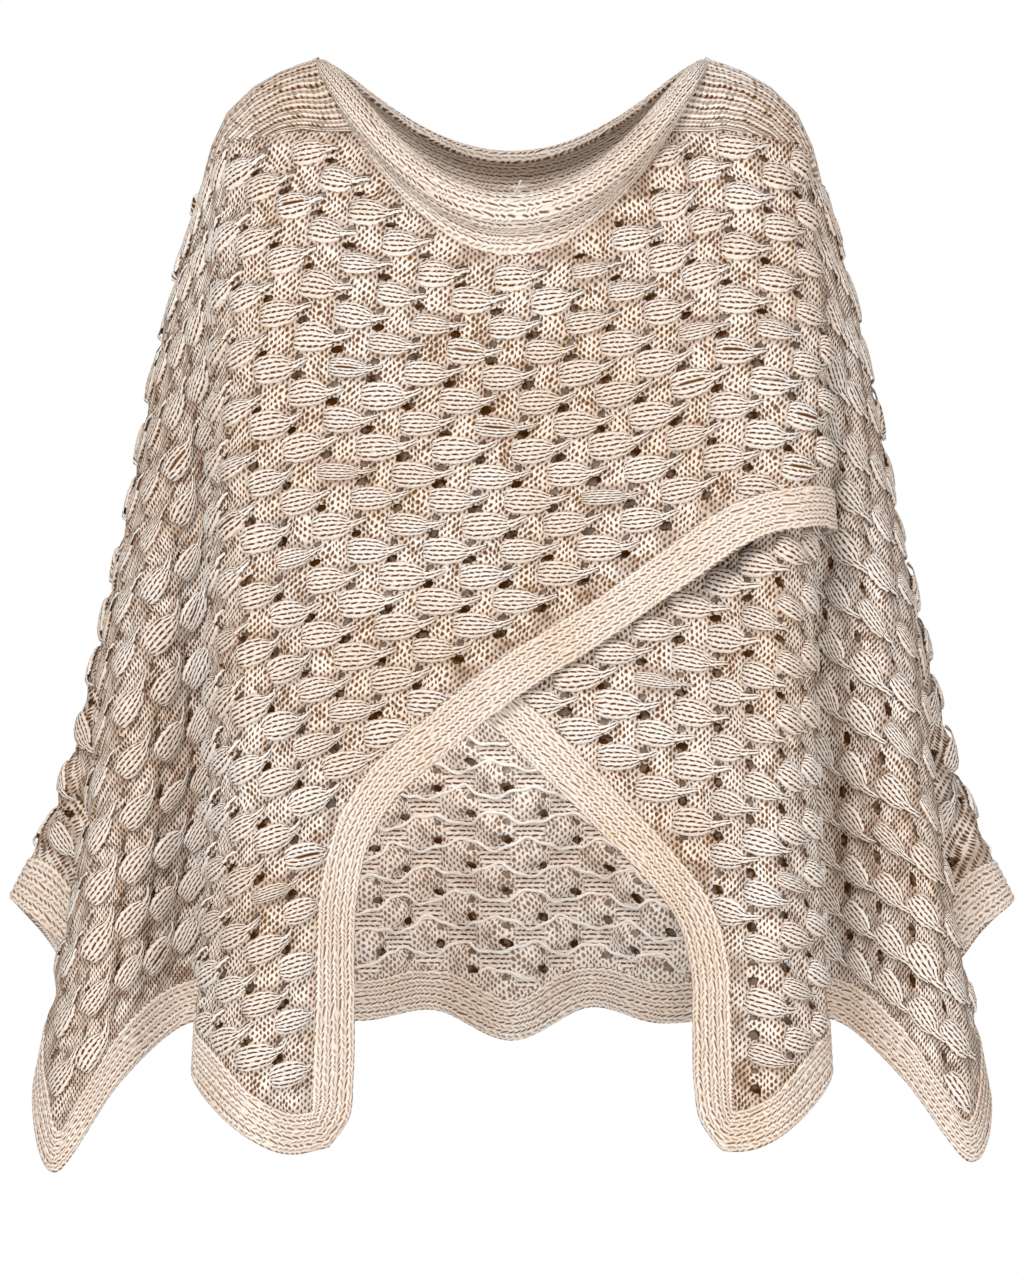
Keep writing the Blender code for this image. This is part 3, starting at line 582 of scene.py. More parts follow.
def back_drape():
    rows = [fold_row(BACK_FOLDS[0], LEFT, BACK)]
    for side in (RIGHT, LEFT):
        rows += [fold_row(fold, side, BACK) for fold in BACK_FOLDS[1:]]
        rows += [fold_row(SIDE_SEAM, side, BACK), beyond_seam(FRONT_FOLDS[-1], side, BACK)]
    return Drape(rows)


over_drape, under_drape, rear_drape = over_front_drape(), under_front_drape(), back_drape()
print("over front spans", over_drape.across[0], "to", over_drape.across[-1])

# %% [markdown]
# ## Bands and panels share their lines
# Each panel ends where its ribbed band begins. On the real garment the stitches along that line are picked
# up and the band is knitted outwards from them. So two lines are worked out first: the outer edge, and a
# line one band width inside it. A band is made between the two, and a panel is cut to the inner one.

# %% Outer and inner lines of the bands
CORNER_FAN = 0.014  # height of the band's inner edge that its rounded corner fans out from
EDGE_SAMPLES, HEM_SAMPLES, TOP_SAMPLES = 900, 300, 90
MOST_SLANT = 1.45  # the most that a steep hem widens its band's height
STATION = 0.005  # between the cross-sections of a band
STATIONS_PER_CORNER = 3  # of a panel's outline


def first(mask):
    return int(np.argmax(mask))


def length_along(line):
    return np.concatenate([[0], np.cumsum(np.linalg.norm(np.diff(line, axis=0), axis=1))])


def offset_line(line, distance):
    """The line of (across, height) points moved sideways, to its left as it runs."""
    run = unit(np.gradient(line, axis=0))
    return line + distance * np.column_stack([-run[:, 1], run[:, 0]])


def above_hem(across, drape):
    """Heights of the line where the hem band meets its panel."""
    hem = drape.hem(across)
    slope = np.gradient(hem, across)
    return hem + BAND_WIDTH * np.minimum(np.hypot(1, slope), MOST_SLANT)


def even_stations(outer, inner, step):
    """The two lines, point for point, at even steps along the outer one."""
    reach = length_along(outer)
    even = np.linspace(0, reach[-1], int(round(reach[-1] / step)) + 1)
    return [np.column_stack([np.interp(even, reach, axis) for axis in line.T]) for line in (outer, inner)]


def front_rails(edge, drape, side):
    """A front's outer edge and its band's inner line, along the slanting edge, the split and the hem."""
    corners = np.array(edge)
    chord = length_along(corners)
    slanting = smooth_curve(chord, corners, np.linspace(0, chord[-1], EDGE_SAMPLES))
    hem_across = side * np.linspace(HEM_STARTS_AT, SIDE_SEAM.across, HEM_SAMPLES)
    outer = np.vstack([slanting, np.column_stack([hem_across, drape.hem(hem_across)])])

    inner = offset_line(outer, side * BAND_WIDTH)
    hanging = first(outer[:, 1] < SPLIT_MIDDLE)
    turned = first(outer[:, 1] < SPLIT_BOTTOM)
    split = inner[hanging, 0]
    last = turned + first(side * outer[turned:, 0] > side * split)
    inner[last:] = np.column_stack([outer[last:, 0], above_hem(outer[last:, 0], drape)])
    corner = inner[last, 1]
    fan = first(outer[:, 1] < corner + CORNER_FAN)
    inner[hanging:last, 0] = split
    inner[hanging:fan, 1] = outer[hanging:fan, 1]
    inner[fan:last, 1] = np.linspace(corner + CORNER_FAN, corner, last - fan)
    return even_stations(outer, inner, STATION)


def back_rails(drape):
    across = np.linspace(-SIDE_SEAM.across, SIDE_SEAM.across, 2 * HEM_SAMPLES)
    outer = np.column_stack([across, drape.hem(across)])
    inner = np.column_stack([across, above_hem(across, drape)])
    return even_stations(outer, inner, STATION)


def panel_outline(drape, line, side):
    """The closed line round a panel: the line along its band to the side seam, and the top seam back."""
    top_across = np.linspace(side * SIDE_SEAM.across, line[0, 0], TOP_SAMPLES)
    top = np.column_stack([top_across, drape.top(top_across)[:, 2]])
    return np.vstack([line[::STATIONS_PER_CORNER], line[-1:], top])


over_rails = front_rails(OVER_EDGE, over_drape, RIGHT)
under_rails = front_rails(UNDER_EDGE, under_drape, LEFT)
rear_rails = back_rails(rear_drape)
print("band stations:", [len(rails[0]) for rails in (over_rails, under_rails, rear_rails)])

# %% [markdown]
# ## Knitted rows
# A knit is made of rows, and on a worn one the rows don't stay level. They sag in front of the neck, and
# they dip towards the tips of the side lobes, where the cloth hangs on the bias. The leaves lie along the
# rows, so this is what makes them lean. A small table gives the dip of a row at each place across the
# panel, and how much of that dip the hem takes back. The knitting is drawn wide at the sides, where the
# weight of the sleeves pulls it out. The rows are counted from the shoulder line, and a few lie above it to
# reach the top of the panel everywhere.

# %% How the rows run
# Each place: (across, dip, spread, lift).
# dip: how far a row hangs lower than at the centre.  spread: how far apart the rows lie against the chart.
# lift: what the rows near the hem take back, so that they follow it.
SIDE_ROWS = np.array((
    (0.115, 0.000, 0.97, 0.000), (0.150, 0.001, 0.98, 0.002), (0.196, 0.006, 1.00, 0.012),
    (0.245, 0.021, 1.03, 0.035), (0.320, 0.047, 1.10, 0.070), (0.355, 0.064, 1.15, 0.070),
    (0.405, 0.092, 1.21, 0.040), (0.455, 0.120, 1.26, 0.008), (0.515, 0.150, 1.30, 0.000),
    (0.580, 0.180, 1.33, 0.000), (0.640, 0.205, 1.35, 0.000),
))
CENTRE_ROW = np.array(((0.000, 0.000, 0.96, 0.000),))
CROSSED_ROWS = np.array((
    (0.115, -0.002, 0.96, 0.000), (0.175, -0.002, 0.96, 0.000), (0.215, 0.003, 0.97, 0.000),
    (0.250, 0.010, 0.98, 0.000), (0.290, 0.018, 0.99, 0.000),
))
HALF_BACK_ROWS = np.array((
    (0.125, 0.003, 0.97, 0.000), (0.192, 0.012, 0.99, 0.000), (0.270, 0.028, 1.04, 0.000),
    (0.375, 0.076, 1.17, 0.000), (0.450, 0.112, 1.25, 0.000), (0.525, 0.152, 1.30, 0.000),
    (0.580, 0.180, 1.33, 0.000), (0.640, 0.205, 1.35, 0.000),
))


def from_side_to_side(right, left):
    """A whole table from its right half, which is written from the centre outwards too, and its left half."""
    return np.vstack([right[::-1] * (-1, 1, 1, 1), CENTRE_ROW, left])


OVER_ROWS = from_side_to_side(SIDE_ROWS, CROSSED_ROWS)
UNDER_ROWS = from_side_to_side(CROSSED_ROWS, SIDE_ROWS)
BACK_ROWS = from_side_to_side(HALF_BACK_ROWS, HALF_BACK_ROWS)
LIFT_STARTS, LIFT_ENDS = -0.54, -0.80
NECK_SAG, NECK_SAG_REACH = 0.020, 0.150
NECK_SAG_STARTS, NECK_SAG_ENDS = -0.150, -0.450


def row_height(bends, across, down):
    """The height of the row that is `down` metres below the shoulder line, at each value of across."""
    knots = bends[:, 0]
    dip, spread, lift = smooth_curve(knots, bends[:, 1:], np.clip(across, knots[0], knots[-1])).T
    height = -down * spread - dip
    height += lift * part_way(height, LIFT_STARTS, LIFT_ENDS)
    sag = NECK_SAG * np.clip(1 - (across / NECK_SAG_REACH) ** 2, 0, 1)
    return height - sag * part_way(height, NECK_SAG_ENDS, NECK_SAG_STARTS)


# %% A panel as rows and stitches
REPEAT_LONG, REPEAT_DEEP = 0.056, 0.040  # one repeat of the lace: two leaves, half a repeat apart
CELLS = 12  # cells of the lace chart each way
CELL_LONG, CELL_DEEP = REPEAT_LONG / CELLS, REPEAT_DEEP / CELLS
TABLE_COLUMNS_PER_CELL = 2
ROWS_ABOVE, ROW_COUNT = 24, 264  # cells above and below the shoulder line, where rows are counted from
HALF_ROW = 114  # cells from the centre to the end of a row
WIDE_FROM, WIDE_BLEND, WIDER = 0.24, 0.05, 0.60  # where the knitting begins to be drawn wide, and by how much
LEAN_MIDDLE = 0.300  # metres down the rows at which a leaning column crosses its own place
HEM_ROOM = 0.004  # how far below the hem the surface is still read
FRAME_REACH = 0.004  # each way, for the directions of a place
ACROSS, HEIGHT, DEPTH = 6, 7, 8  # what a cloth's table tells of a place, after its point and normal
ROW_SAMPLES = 700


def edge_depth(places, outline):
    """How far inside a closed line each (across, height) place lies. It is negative outside."""
    nearest = np.full(len(places), np.inf)
    inside = np.zeros(len(places), bool)
    for start, end in zip(outline, np.roll(outline, -1, axis=0)):
        run = end - start
        share = np.clip((places - start) @ run / max(run @ run, TINY), 0, 1)
        away = places - start - share[:, None] * run
        nearest = np.minimum(nearest, (away**2).sum(axis=1))
        if start[1] == end[1]:
            continue
        crosses = (start[1] > places[:, 1]) != (end[1] > places[:, 1])
        at = start[0] + (places[:, 1] - start[1]) * run[0] / run[1]
        inside ^= crosses & (places[:, 0] < at)
    return np.sqrt(nearest) * np.where(inside, 1, -1)


def drawn_wide(along):
    """Real distance along a row for one on the chart: the weight of the sleeves draws the sides wide."""
    beyond = np.clip(np.abs(along) - WIDE_FROM, 0, None)
    return along + np.sign(along) * WIDER * beyond**2 / (beyond + WIDE_BLEND)


class Cloth:
    """A panel by (along, down): metres along a row of the chart from the centre line, and down the rows.

    way is 1 where along runs to the right as seen from outside, and -1 where it runs to the left.
    lean is how far the columns of stitches lean to the wearer's right for each metre down.
    """

    def __init__(self, drape, bends, line, side, way, lean):
        self.drape = drape
        self.way = way
        self.step = CELL_LONG / TABLE_COLUMNS_PER_CELL
        self.start = -HALF_ROW * CELL_LONG
        along = self.start + self.step * np.arange(2 * HALF_ROW * TABLE_COLUMNS_PER_CELL + 1)
        fine = np.linspace(drape.across[0], drape.across[-1], ROW_SAMPLES)
        middle = first(fine >= 0)
        low, high = drape.hem(fine) - HEM_ROOM, drape.top(fine)[:, 2]
        layers = []
        for down in CELL_DEEP * np.arange(-ROWS_ABOVE, ROW_COUNT):
            level = row_height(bends, fine, down)
            row = drape.point(fine, np.clip(level, low, high))
            row[:, 2] = level
            reach = length_along(row)
            reach -= reach[middle]
            real = drawn_wide(along) - lean * (down - LEAN_MIDDLE)
            across = np.interp(real, reach, fine)
            beyond = real - np.clip(real, reach[0], reach[-1])
            height = row_height(bends, across, down)
            kept = np.clip(height, np.interp(across, fine, low), np.interp(across, fine, high))
            points, normals = drape.point(across, kept), drape.normal(across, kept)
            layers.append(np.column_stack([points, normals, across + beyond, height]))
        table = np.array(layers)
        places = table[..., [ACROSS, HEIGHT]].reshape(-1, 2)
        depth = edge_depth(places, panel_outline(drape, line, side))
        self.table = np.concatenate([table, depth.reshape(table.shape[:2] + (1,))], axis=2)

    def read(self, along, down):
        """The table at (along, down), with even blending: point, normal, across, height and depth."""
        column = np.clip((along - self.start) / self.step, 0, self.table.shape[1] - BEFORE_END)
        row = np.clip(down / CELL_DEEP + ROWS_ABOVE, 0, self.table.shape[0] - BEFORE_END)
        left, above = column.astype(int), row.astype(int)
        right_share, below_share = (column - left)[..., None], (row - above)[..., None]
        upper, lower = (
            self.table[line, left] * (1 - right_share) + self.table[line, left + 1] * right_share
            for line in (above, above + 1)
        )
        return upper * (1 - below_share) + lower * below_share

    def frame(self, along, down):
        """Metres of cloth to a metre of along and of down at each place, how down leans, how right climbs."""
        ahead = self.read(along + FRAME_REACH, down) - self.read(along - FRAME_REACH, down)
        below = self.read(along, down + FRAME_REACH) - self.read(along, down - FRAME_REACH)
        ahead, below = ahead[..., :3] / (2 * FRAME_REACH), below[..., :3] / (2 * FRAME_REACH)
        stretch = np.linalg.norm(ahead, axis=-1)
        right = ahead / stretch[..., None] * self.way
        lean = (below * right).sum(axis=-1)
        spread = np.linalg.norm(below - lean[..., None] * right, axis=-1)
        return stretch, lean, spread, np.arcsin(right[..., 2])


over_cloth = Cloth(over_drape, OVER_ROWS, over_rails[1], RIGHT, 1, 0.10)
under_cloth = Cloth(under_drape, UNDER_ROWS, under_rails[1], LEFT, 1, -0.03)
rear_cloth = Cloth(rear_drape, BACK_ROWS, rear_rails[1], LEFT, -1, 0.0)
print("rows and stitches:", over_cloth.table.shape[:2])

# %% [markdown]
# ## The lace chart
# A knitter works from a chart of one repeat. Here the chart is a grid of 12 by 12 small cells, and it is
# laid over a whole panel along its rows. Two leaves sit in each repeat, half a repeat apart both ways. At
# the right-hand end of every leaf the yarn-overs leave two eyelets, a larger one below the strand and a
# smaller one above it. The cloth between the leaves bellies inwards. Each eyelet is a real hole in the wall
# of cloth, with a rim of its own size. A thin dark web closes its back: a sheet painted with the shade deep
# in the hole, paler in the upper eyelets, so it reads deep from any angle.

# %% Eyelets and relief of one repeat
LEAVES = ((3, 3), (9, 9))  # centres of the leaves, in cells
EYELET_AHEAD, EYELET_APART = 4, 2  # cells from a leaf's centre to its eyelets: along, and up or down
EYELET_LONG, EYELET_DEEP = 0.0049, 0.0033  # half sizes of the lower eyelet
EYELET_TILT = 0.35  # radians that they climb to the right
UPPER_EYELET = 0.70  # size of the upper eyelet against the lower one
EYELET_SIZES, EYELET_SEED = (0.78, 1.18), 5  # each eyelet's own size
STRETCHES, SPREADS = (0.7, 3.0), (0.6, 3.0)  # of the cloth, between which an eyelet keeps its size
RELIEF = {FRONT: 0.0026, BACK: 0.0046}
CALM_EDGE = 0.012  # width along the edges where the relief fades, so that the band lies flat
WALL, WEB_DEPTH = 0.0020, 0.35  # thickness of the cloth, and its share from the middle to a web
TUCKED = 0.008  # how far a panel reaches into the band that it is joined to
SMALLEST_CELL = 4e-7  # square metres
HIDDEN_DEPTH = 0.012  # how far under the over front the under front turns plain


def chart_relief(column, row):
    """How far the cloth stands out at a cell of the chart: 1 at the leaves, -1 in the middle between them."""
    turn = 2 * np.pi / CELLS
    return np.cos(turn * (column - LEAVES[0][0])) * np.cos(turn * (row - LEAVES[0][1]))


def grid_numbers(cloth):
    """Chart columns, counted to the right as seen from outside, and rows, of a panel's grid."""
    columns = np.arange(-HALF_ROW, HALF_ROW + 1)
    return np.meshgrid(columns * cloth.way, np.arange(-ROWS_ABOVE, ROW_COUNT))


def eyelet_rims(cloth):
    """Offsets (along, down) of the grid points that ring each eyelet, and which points fall inside one."""
    column, row = grid_numbers(cloth)
    stretch, _, spread, _ = cloth.frame(column * cloth.way * CELL_LONG, row * CELL_DEEP)
    stretch, spread = np.clip(stretch, *STRETCHES), np.clip(spread, *SPREADS)
    cosine, sine = np.cos(EYELET_TILT), np.sin(EYELET_TILT)
    moved = np.zeros(column.shape + (2,))
    inside = np.zeros(column.shape, bool)
    sizes = np.random.default_rng(EYELET_SEED).uniform(*EYELET_SIZES, (CELLS, CELLS, 2))
    for (leaf_column, leaf_row), (below, size) in itertools.product(LEAVES, ((-1, UPPER_EYELET), (1, 1.0))):
        from_column = column - (leaf_column + EYELET_AHEAD - CELLS // 2)
        from_row = row - (leaf_row + below * EYELET_APART - CELLS // 2)
        across, down = from_column % CELLS - CELLS // 2, from_row % CELLS - CELLS // 2
        ring = np.maximum(abs(across), abs(down)) == 1
        bearing = np.arctan2(down, across)
        own = sizes[from_column // CELLS % CELLS, from_row // CELLS % CELLS]
        long = EYELET_LONG * size * own[..., 0] * np.cos(bearing)
        deep = EYELET_DEEP * size * own[..., 1] * np.sin(bearing)
        offsets = (
            (long * cosine + deep * sine) / stretch - across * CELL_LONG,
            (deep * cosine - long * sine) / spread - down * CELL_DEEP,
        )
        moved[ring] = np.stack(offsets, axis=-1)[ring]
        inside |= (across == 0) & (down == 0)
    moved[..., 0] *= cloth.way
    return moved, inside


# %% Grids and meshes
def grid_quads(rows, columns):
    """The quads of a grid of points that are numbered row by row."""
    number = np.arange(rows * columns).reshape(rows, columns)
    corners = [number[:-1, :-1], number[:-1, 1:], number[1:, 1:], number[1:, :-1]]
    return np.stack(corners, axis=-1).reshape(-1, 4)


def grid_uv(along, across):
    """UVs of the points of a grid, from the places of its rows and of its columns."""
    return np.stack(np.broadcast_arrays(along[:, None], across), axis=-1).reshape(-1, 2)


def mesh_object(name, points, faces, uv, materials, tone, face_materials=0):
    """A smooth mesh with a UV and a tone for each point, which the materials read, and no unused points."""
    used, numbers = np.unique(faces, return_inverse=True)
    faces = numbers.reshape(faces.shape)
    mesh = bpy.data.meshes.new(name)
    mesh.from_pydata(points[used], [], faces.tolist())
    layer = mesh.uv_layers.new(name="cloth")
    layer.data.foreach_set("uv", uv[used][faces.ravel()].ravel())
    face_materials = np.broadcast_to(face_materials, len(faces)).astype(np.int32)
    mesh.polygons.foreach_set("material_index", face_materials)
    for material in materials:
        mesh.materials.append(material)
    tones = mesh.attributes.new("tone", "FLOAT", "POINT")
    tones.data.foreach_set("value", np.broadcast_to(tone, len(points))[used])
    mesh.shade_smooth()
    print(name, len(faces) * (faces.shape[1] - 2), "triangles")
    return new_object(name, mesh)


def boundary_edges(quads):
    """The directed edges that only one quad uses."""
    edges = np.concatenate([quads[:, [corner, (corner + 1) % 4]] for corner in range(4)])
    same = np.sort(edges, axis=1)
    _, at, uses = np.unique(same, axis=0, return_index=True, return_counts=True)
    return edges[at[uses == 1]]


def closed_wall(name, outer, inner, quads, uv, materials, tone):
    """A closed wall between two sheets of points, outer side first, that share their quads, UVs and tone."""
    count = len(outer)
    rim = boundary_edges(quads)
    faces = np.concatenate([quads, quads[:, ::-1] + count, np.column_stack([rim[:, ::-1], rim + count])])
    sides = np.repeat([0, 1, 0], [len(quads), len(quads), len(rim)])
    tone = np.tile(np.broadcast_to(tone, count), 2)
    return mesh_object(name, np.vstack([outer, inner]), faces, np.vstack([uv, uv]), materials, tone, sides)


# %% A panel with its eyelets, and a dark web of painted shade at the back of each
# The eight grid points of a rim, in turn: (down, across).
RING = ((-1, -1), (-1, 0), (-1, 1), (0, 1), (1, 1), (1, 0), (1, -1), (0, -1))


def shade_webs_mesh(name, holes, back, uv, material):
    """A thin dark sheet at the back of each eyelet, which carries the painted shade deep in the hole. Its tone is 1 in
    the upper ones.
    """
    row, column = np.nonzero(holes)
    upper = (row - LEAVES[0][1] + EYELET_APART) % (CELLS // 2) == 0
    ring = np.stack([(row + down) * holes.shape[1] + column + across for down, across in RING], axis=-1)
    points, place_uv = back.reshape(-1, 3)[ring].reshape(-1, 3), uv[ring].reshape(-1, 2)
    faces = np.arange(len(points)).reshape(-1, len(RING))
    return mesh_object(name, points, faces, place_uv, [material], np.repeat(upper.astype(float), len(RING)))


def panel_mesh(name, cloth, materials, covered=None):
    """A lace panel, and the dark sheets of painted shade in its eyelets. covered is the outline of a panel on top of
    it, under which it is plain.
    """
    column, row = grid_numbers(cloth)
    along = column * cloth.way * CELL_LONG
    down = row * CELL_DEEP
    moved, holes = eyelet_rims(cloth)
    here = cloth.read(along, down)
    depth = here[..., DEPTH]
    calm = np.clip(depth / CALM_EDGE, 0, 1)
    plain = depth < CALM_EDGE / 2
    if covered is not None:
        under = edge_depth(here[..., [ACROSS, HEIGHT]].reshape(-1, 2), covered).reshape(depth.shape)
        plain |= under > HIDDEN_DEPTH
        calm *= np.clip(1.5 - under / HIDDEN_DEPTH, 0, 1)
    near_plain = plain.copy()
    for shift, axis in itertools.product((-1, 1), (0, 1)):
        near_plain |= np.roll(plain, shift, axis)
    moved[near_plain] = 0
    holes &= ~near_plain

    here = cloth.read(along + moved[..., 0], down + moved[..., 1])
    points, normals = here[..., :3], here[..., 3:6]
    relief = chart_relief(column, row) * calm
    lift = relief * RELIEF[cloth.drape.face]
    outer, inner, back = (
        (points + normals * (lift + WALL * share)[..., None]).reshape(-1, 3)
        for share in (0.5, -0.5, -WEB_DEPTH)
    )
    uv = np.stack([drawn_wide(along + moved[..., 0]) * cloth.way, here[..., HEIGHT]], axis=-1).reshape(-1, 2)

    quads = grid_quads(*column.shape)[:, [0, 3, 2, 1]]
    corner_depth = depth.ravel()[quads]
    corners = points.reshape(-1, 3)[quads]
    area = np.linalg.norm(np.cross(corners[:, 2] - corners[:, 0], corners[:, 3] - corners[:, 1]), axis=1) / 2
    kept = (corner_depth.min(axis=1) > -TUCKED) | (corner_depth.max(axis=1) > 0)
    kept &= (area > SMALLEST_CELL) & ~holes.ravel()[quads].any(axis=1)
    quads = quads[kept]
    if cloth.drape.face == BACK:
        quads = quads[:, ::-1]
    # The relief is the panel's tone: the right side paints a shadow round each leaf from it, and the wrong side its
    # cords.
    panel = closed_wall(name, outer, inner, quads, uv, materials[:2], relief.ravel())
    return panel, shade_webs_mesh(name + "_webs", holes & (depth > 0), back, uv, materials[2])

# %% [markdown]
# ## Leaves
# A leaf is six long cords of yarn side by side. They start apart at the blunt left end, swell out in the
# middle, and are gathered into one strand at the right, which runs on over the next stitches between the
# two eyelets. One leaf is shaped as a few dozen faces. It is then laid at every leaf of the chart,
# squared up so that it keeps its shape where the cloth hangs askew, with its own small turn, size and shade
# as hand work has.

# %% One leaf, and a leaf at every place of the chart
CORDS = 6
# (along, half width, height, how deep the grooves are) of a leaf, in metres from its centre
LEAF_STATIONS = (
    (-0.0162, 0.0052, -0.0018, 0.0), (-0.0150, 0.0082, 0.0030, 0.8), (-0.0094, 0.0107, 0.0048, 1.0),
    (-0.0004, 0.0112, 0.0054, 1.0), (0.0088, 0.0094, 0.0050, 1.0), (0.0156, 0.0050, 0.0034, 0.6),
)
# (along, upwards, half width, height) of the strand that leaves its right-hand end
STRAND_STATIONS = (
    (0.0138, 0.0000, 0.0040, 0.0040), (0.0190, 0.0010, 0.0030, 0.0036),
    (0.0236, 0.0028, 0.0025, 0.0032), (0.0290, 0.0054, 0.0019, -0.0008),
)
STRAND_SIDES = ((-1, 0.0026), (0, 0.0), (1, 0.0026))  # across the strand, and how far it drops there
LEAF_FOOT = 0.0014  # how far the leaf's edges go down into the cloth
CROWN_FLATNESS, CROWN_FULLNESS = 2.4, 0.62
GROOVE, GROOVE_AT_EDGE = 0.0014, 0.4  # its depth on the crown, and its share of that at the edges
LEAF_LIFT = 0.7  # of the relief, on which a leaf stands
LEAF_TURN, LEAF_SIZE, LEAF_SHIFT = 0.080, 0.075, 0.0008  # by how much each leaf differs
LEAF_SLIM, FEW_SLIM = 0.45, 9  # by how much the slimmest leaf is slimmer, and how few leaves come near it
LEAF_SHORT = 0.20  # by how much leaves are shorter on the shoulders and away from the middle
SHORT_ALONG, SHORT_HEIGHT = (0.10, 0.22), (-0.30, -0.14)  # where that begins and is full
TIGHTEST, WIDEST = 0.72, 1.05  # width of a leaf, by how the cloth is spread there
LEAST_SPREAD = 0.35
SIDE_FROM, SIDE_FULL = 0.25, 0.37  # metres along a row, from where the leaves turn to hang down over the arm
SIDE_CLIMB, SIDE_NARROW = 0.74, 0.76  # how steep and how wide they then are
SIDE_GROWTH, SIDE_FLAT, SIDE_LIFT = 0.14, 0.64, 0.0015  # and how much larger, flatter and higher on the cloth
END_ROOM = 8  # cells that stay free of leaves at the ends of the chart's rows
LEAF_INSIDE = 0.0045  # from a leaf's centre to the edge, at least
SINKS_OVER = 0.006  # width along the edges where a leaf goes under the band


def leaf_shape():
    """Points (right, down, out) of a leaf with its strand, their cord UVs, and its quads."""
    points, uv = [], []
    ridges = np.linspace(-1, 1, 2 * CORDS + 1)
    for along, half, height, grooved in LEAF_STATIONS:
        for number, place in enumerate(ridges):
            crown = (1 - abs(place) ** CROWN_FLATNESS) ** CROWN_FULLNESS
            groove = GROOVE * grooved * (number % 2 == 0)
            groove *= GROOVE_AT_EDGE + (1 - GROOVE_AT_EDGE) * crown
            points.append((along, half * place, -LEAF_FOOT + (height + LEAF_FOOT) * crown - groove))
            uv.append((along, number / 2))
    leaf_points = len(points)
    for along, upwards, half, height in STRAND_STATIONS:
        for place, drop in STRAND_SIDES:
            points.append((along, -upwards + half * place, height - drop))
            uv.append((along, CORDS / 2 + place))
    leaf_quads = grid_quads(len(LEAF_STATIONS), len(ridges))
    strand_quads = grid_quads(len(STRAND_STATIONS), len(STRAND_SIDES)) + leaf_points
    return np.array(points), np.array(uv), np.vstack([leaf_quads, strand_quads])


def leaf_places(cloth, covered=None):
    """(along, down) of each leaf whose centre is on the panel."""
    repeats_along = np.arange(-HALF_ROW // CELLS, HALF_ROW // CELLS + 1)
    repeats_down = np.arange(-ROWS_ABOVE // CELLS, ROW_COUNT // CELLS)
    places = []
    for leaf_column, leaf_row in LEAVES:
        column, row = np.meshgrid(repeats_along * CELLS + leaf_column, repeats_down * CELLS + leaf_row)
        places.append(np.column_stack([column.ravel() * cloth.way * CELL_LONG, row.ravel() * CELL_DEEP]))
    places = np.vstack(places)
    places = places[np.abs(places[:, 0]) < (HALF_ROW - END_ROOM) * CELL_LONG]
    here = cloth.read(places[:, 0], places[:, 1])
    kept = here[:, DEPTH] > LEAF_INSIDE
    if covered is not None:
        kept &= edge_depth(here[:, [ACROSS, HEIGHT]], covered) < HIDDEN_DEPTH / 2
    return places[kept]


def lay_leaves(cloth, places, shape, seed):
    """The points of copies of a leaf laid on a panel at the places, in one array (copy, point, xyz)."""
    random = np.random.default_rng(seed)
    count = len(places)
    places = places + random.uniform(-LEAF_SHIFT, LEAF_SHIFT, (count, 2))
    angle = random.uniform(-LEAF_TURN, LEAF_TURN, count)[:, None]
    scale = 1 + random.uniform(-LEAF_SIZE, LEAF_SIZE, count)[:, None]
    slim = 1 - LEAF_SLIM * random.uniform(0, 1, count)[:, None] ** FEW_SLIM
    stretch, lean, spread, climb = (value[:, None] for value in cloth.frame(places[:, 0], places[:, 1]))
    at_side = part_way(np.abs(drawn_wide(places[:, :1])), SIDE_FROM, SIDE_FULL)
    angle = angle - np.sign(climb) * np.clip(SIDE_CLIMB - np.abs(climb), 0, None) * at_side
    scale = scale * (1 + SIDE_GROWTH * at_side)
    tight = (np.clip(spread, TIGHTEST, WIDEST) * (1 - at_side) + SIDE_NARROW * at_side) * slim
    high = cloth.read(places[:, 0], places[:, 1])[:, HEIGHT, None]
    away = np.interp(np.abs(places[:, :1]), SHORT_ALONG, (0, 1))
    long = 1 - LEAF_SHORT * np.maximum(away, np.interp(high, SHORT_HEIGHT, (0, 1)))
    right = (shape[:, 0] * np.cos(angle) * long - shape[:, 1] * np.sin(angle) * tight) * scale
    below = (shape[:, 0] * np.sin(angle) * long + shape[:, 1] * np.cos(angle) * tight) * scale
    down = below / np.maximum(spread, LEAST_SPREAD)
    along = (right - down * lean) / stretch * cloth.way
    here = cloth.read(places[:, :1] + along, places[:, 1:] + down)
    sunk = np.clip(here[..., DEPTH] / SINKS_OVER, -0.5, 1)
    flat = 1 - SIDE_FLAT * at_side
    lift = RELIEF[cloth.drape.face] * LEAF_LIFT + SIDE_LIFT * at_side
    out = np.where(shape[:, 2] > 0, shape[:, 2] * flat * sunk, shape[:, 2]) + lift * np.clip(sunk, 0, 1)
    return here[..., :3] + here[..., 3:6] * out[..., None]


def leaves_mesh(name, cloth, material, seed, covered=None):
    places = leaf_places(cloth, covered)
    shape, uv, quads = leaf_shape()
    points = lay_leaves(cloth, places, shape, seed).reshape(-1, 3)
    count = len(places)
    faces = (quads[None] + len(shape) * np.arange(count)[:, None, None]).reshape(-1, 4)
    shade = np.repeat(np.random.default_rng(seed + 1).uniform(0, 1, count), len(shape))
    print(name, count, "leaves")
    return mesh_object(name, points, faces, np.tile(uv, (count, 1)), [material], shade)

# %% [markdown]
# ## Ribbed bands, straps and neckbands
# A rib is a column of stitches that stands up like a chain, with a sunken column beside it. The bands on
# the edges, the straps over the shoulders and the neckbands are all rib knitting, only laid on different
# surfaces. So one helper makes them all: it takes points and outward directions on a grid, and raises and
# rounds each rib on both faces. The ribs run along the grid's rows.

# %% A ribbed strip
RIB = ((0.0, 0.0), (0.17, 0.72), (0.5, 1.0), (0.83, 0.72))  # across one rib from its groove, and its rise
BAND_HALF, RIB_RISE = 0.0019, 0.0009
EDGE_ROLL, EDGE_THIN = 0.45, 0.3  # share of a rib over which an outer edge rounds off, and from what


